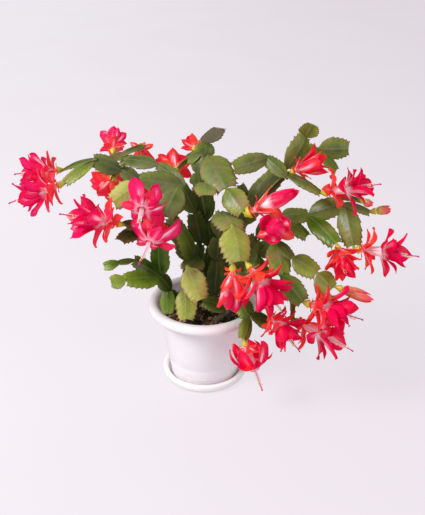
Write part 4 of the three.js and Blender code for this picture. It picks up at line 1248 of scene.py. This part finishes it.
def make_floor_paint():
    """Pale paper that glows a little, so that shadows on it are faint; it is painted darker to the right, as
    painted shade of a light from the left.
    """
    p = Paint("pale_floor", 0.9, Specular_IOR_Level=0.1, Emission_Strength=FLOOR_GLOW)
    to_right = p.node("SeparateXYZ", {0: p.place})
    # painted shade: the paper and its glow run from lighter at the left to darker at the right
    p.colour = p.ramp(p.step(to_right, -1.2, 1.2) + (p.noise(3, 2) - 0.5) * 0.3,
                      (0, 990, 940, 1000), (1, 860, 800, 850))
    p.glow()
    p.lay(FLOOR_SHADE, (0, 0, 0))
    return p.done()


LEAF = make_leaf()
BARK = make_bark()
OVARY = make_ovary()
PETAL = make_petal()
HEART = make_heart()
POT_PLASTIC = make_plastic("pot_plastic", (885, 846, 866), 0.46)
SAUCER_PLASTIC = make_plastic("saucer_plastic", (912, 886, 878), 0.4)
SOIL = make_earth()
BARK_CHIPS = make_bark_chips()


# ---- the whole ----
LAMP_TARGET = (0, 0, 0.12)
CAMERA_PLACE = Vector((9.36, -698.83, 513.02)) * MM
CAMERA_TARGET = Vector((9.36, 0, 153.25)) * MM
CAMERA_LENS = 48.93


def make_plant():
    for number, (stem, (root, leaves)) in enumerate(STEMS.items()):
        rng = random.Random(100 + number)
        blades, blooms, top = grow_stem(root, leaves)
        skin = Skin()
        add_trunk(skin, root, top, rng)
        for blade in blades:
            add_blade(skin, blade, rng)
        for bloom, seat, heading in blooms:
            start = add_ovary(skin, seat, heading, bloom, rng)
            add_bloom(bloom, start, random.Random(bloom.name))
        ride(skin.piece(stem + "_fine", [LEAF, BARK, OVARY]), "leaf", stem)


def make_stage():
    bpy.ops.mesh.primitive_plane_add(size=24, location=(0, 0, 0))
    floor = bpy.context.object
    floor.name = "floor"
    floor.data.materials.append(make_floor_paint())
    floor.visible_glossy = False  # only the lamps shine on the plant, not the room


def add_aimed(name, data, place, target):
    """A lamp or camera at a place, turned to a target, both in metres."""
    piece = bpy.data.objects.new(name, data)
    piece.location = place
    piece.rotation_euler = (Vector(target) - Vector(place)).to_track_quat("-Z", "Y").to_euler()
    link(piece)
    return piece


def make_light():
    for name, place, size, power, colour in (
            ("key", (-1.2, -0.8, 1.6), 0.8, 31, (1.0, 0.985, 1.0)),
            ("side", (-1.5, -0.1, 0.9), 1.0, 4, (1.0, 0.985, 1.0)),
            ("fill", (1.3, -1.2, 0.9), 1.2, 6, (1.0, 0.96, 0.98))):
        light = bpy.data.lights.new(name, "AREA")
        light.shape = "DISK"
        light.size = size
        light.energy = power
        light.color = colour
        add_aimed(name, light, place, LAMP_TARGET)
    world = bpy.data.worlds.new("pale_room")
    world.use_nodes = True
    sky = world.node_tree.nodes["Background"].inputs
    sky["Color"].default_value = (0.95, 0.91, 0.96, 1)
    sky["Strength"].default_value = 0.55
    world.cycles_visibility.glossy = False
    bpy.context.scene.world = world


def make_camera():
    camera = bpy.data.cameras.new("camera")
    camera.sensor_fit = "VERTICAL"
    camera.sensor_height = 36
    camera.lens = CAMERA_LENS
    camera.clip_end = 50
    bpy.context.scene.camera = add_aimed("camera", camera, CAMERA_PLACE, CAMERA_TARGET)


bpy.context.scene.view_settings.view_transform = "Standard"
make_camera()
make_stage()
make_light()
make_saucer()
make_pot()
make_soil()
make_chips()
make_plant()
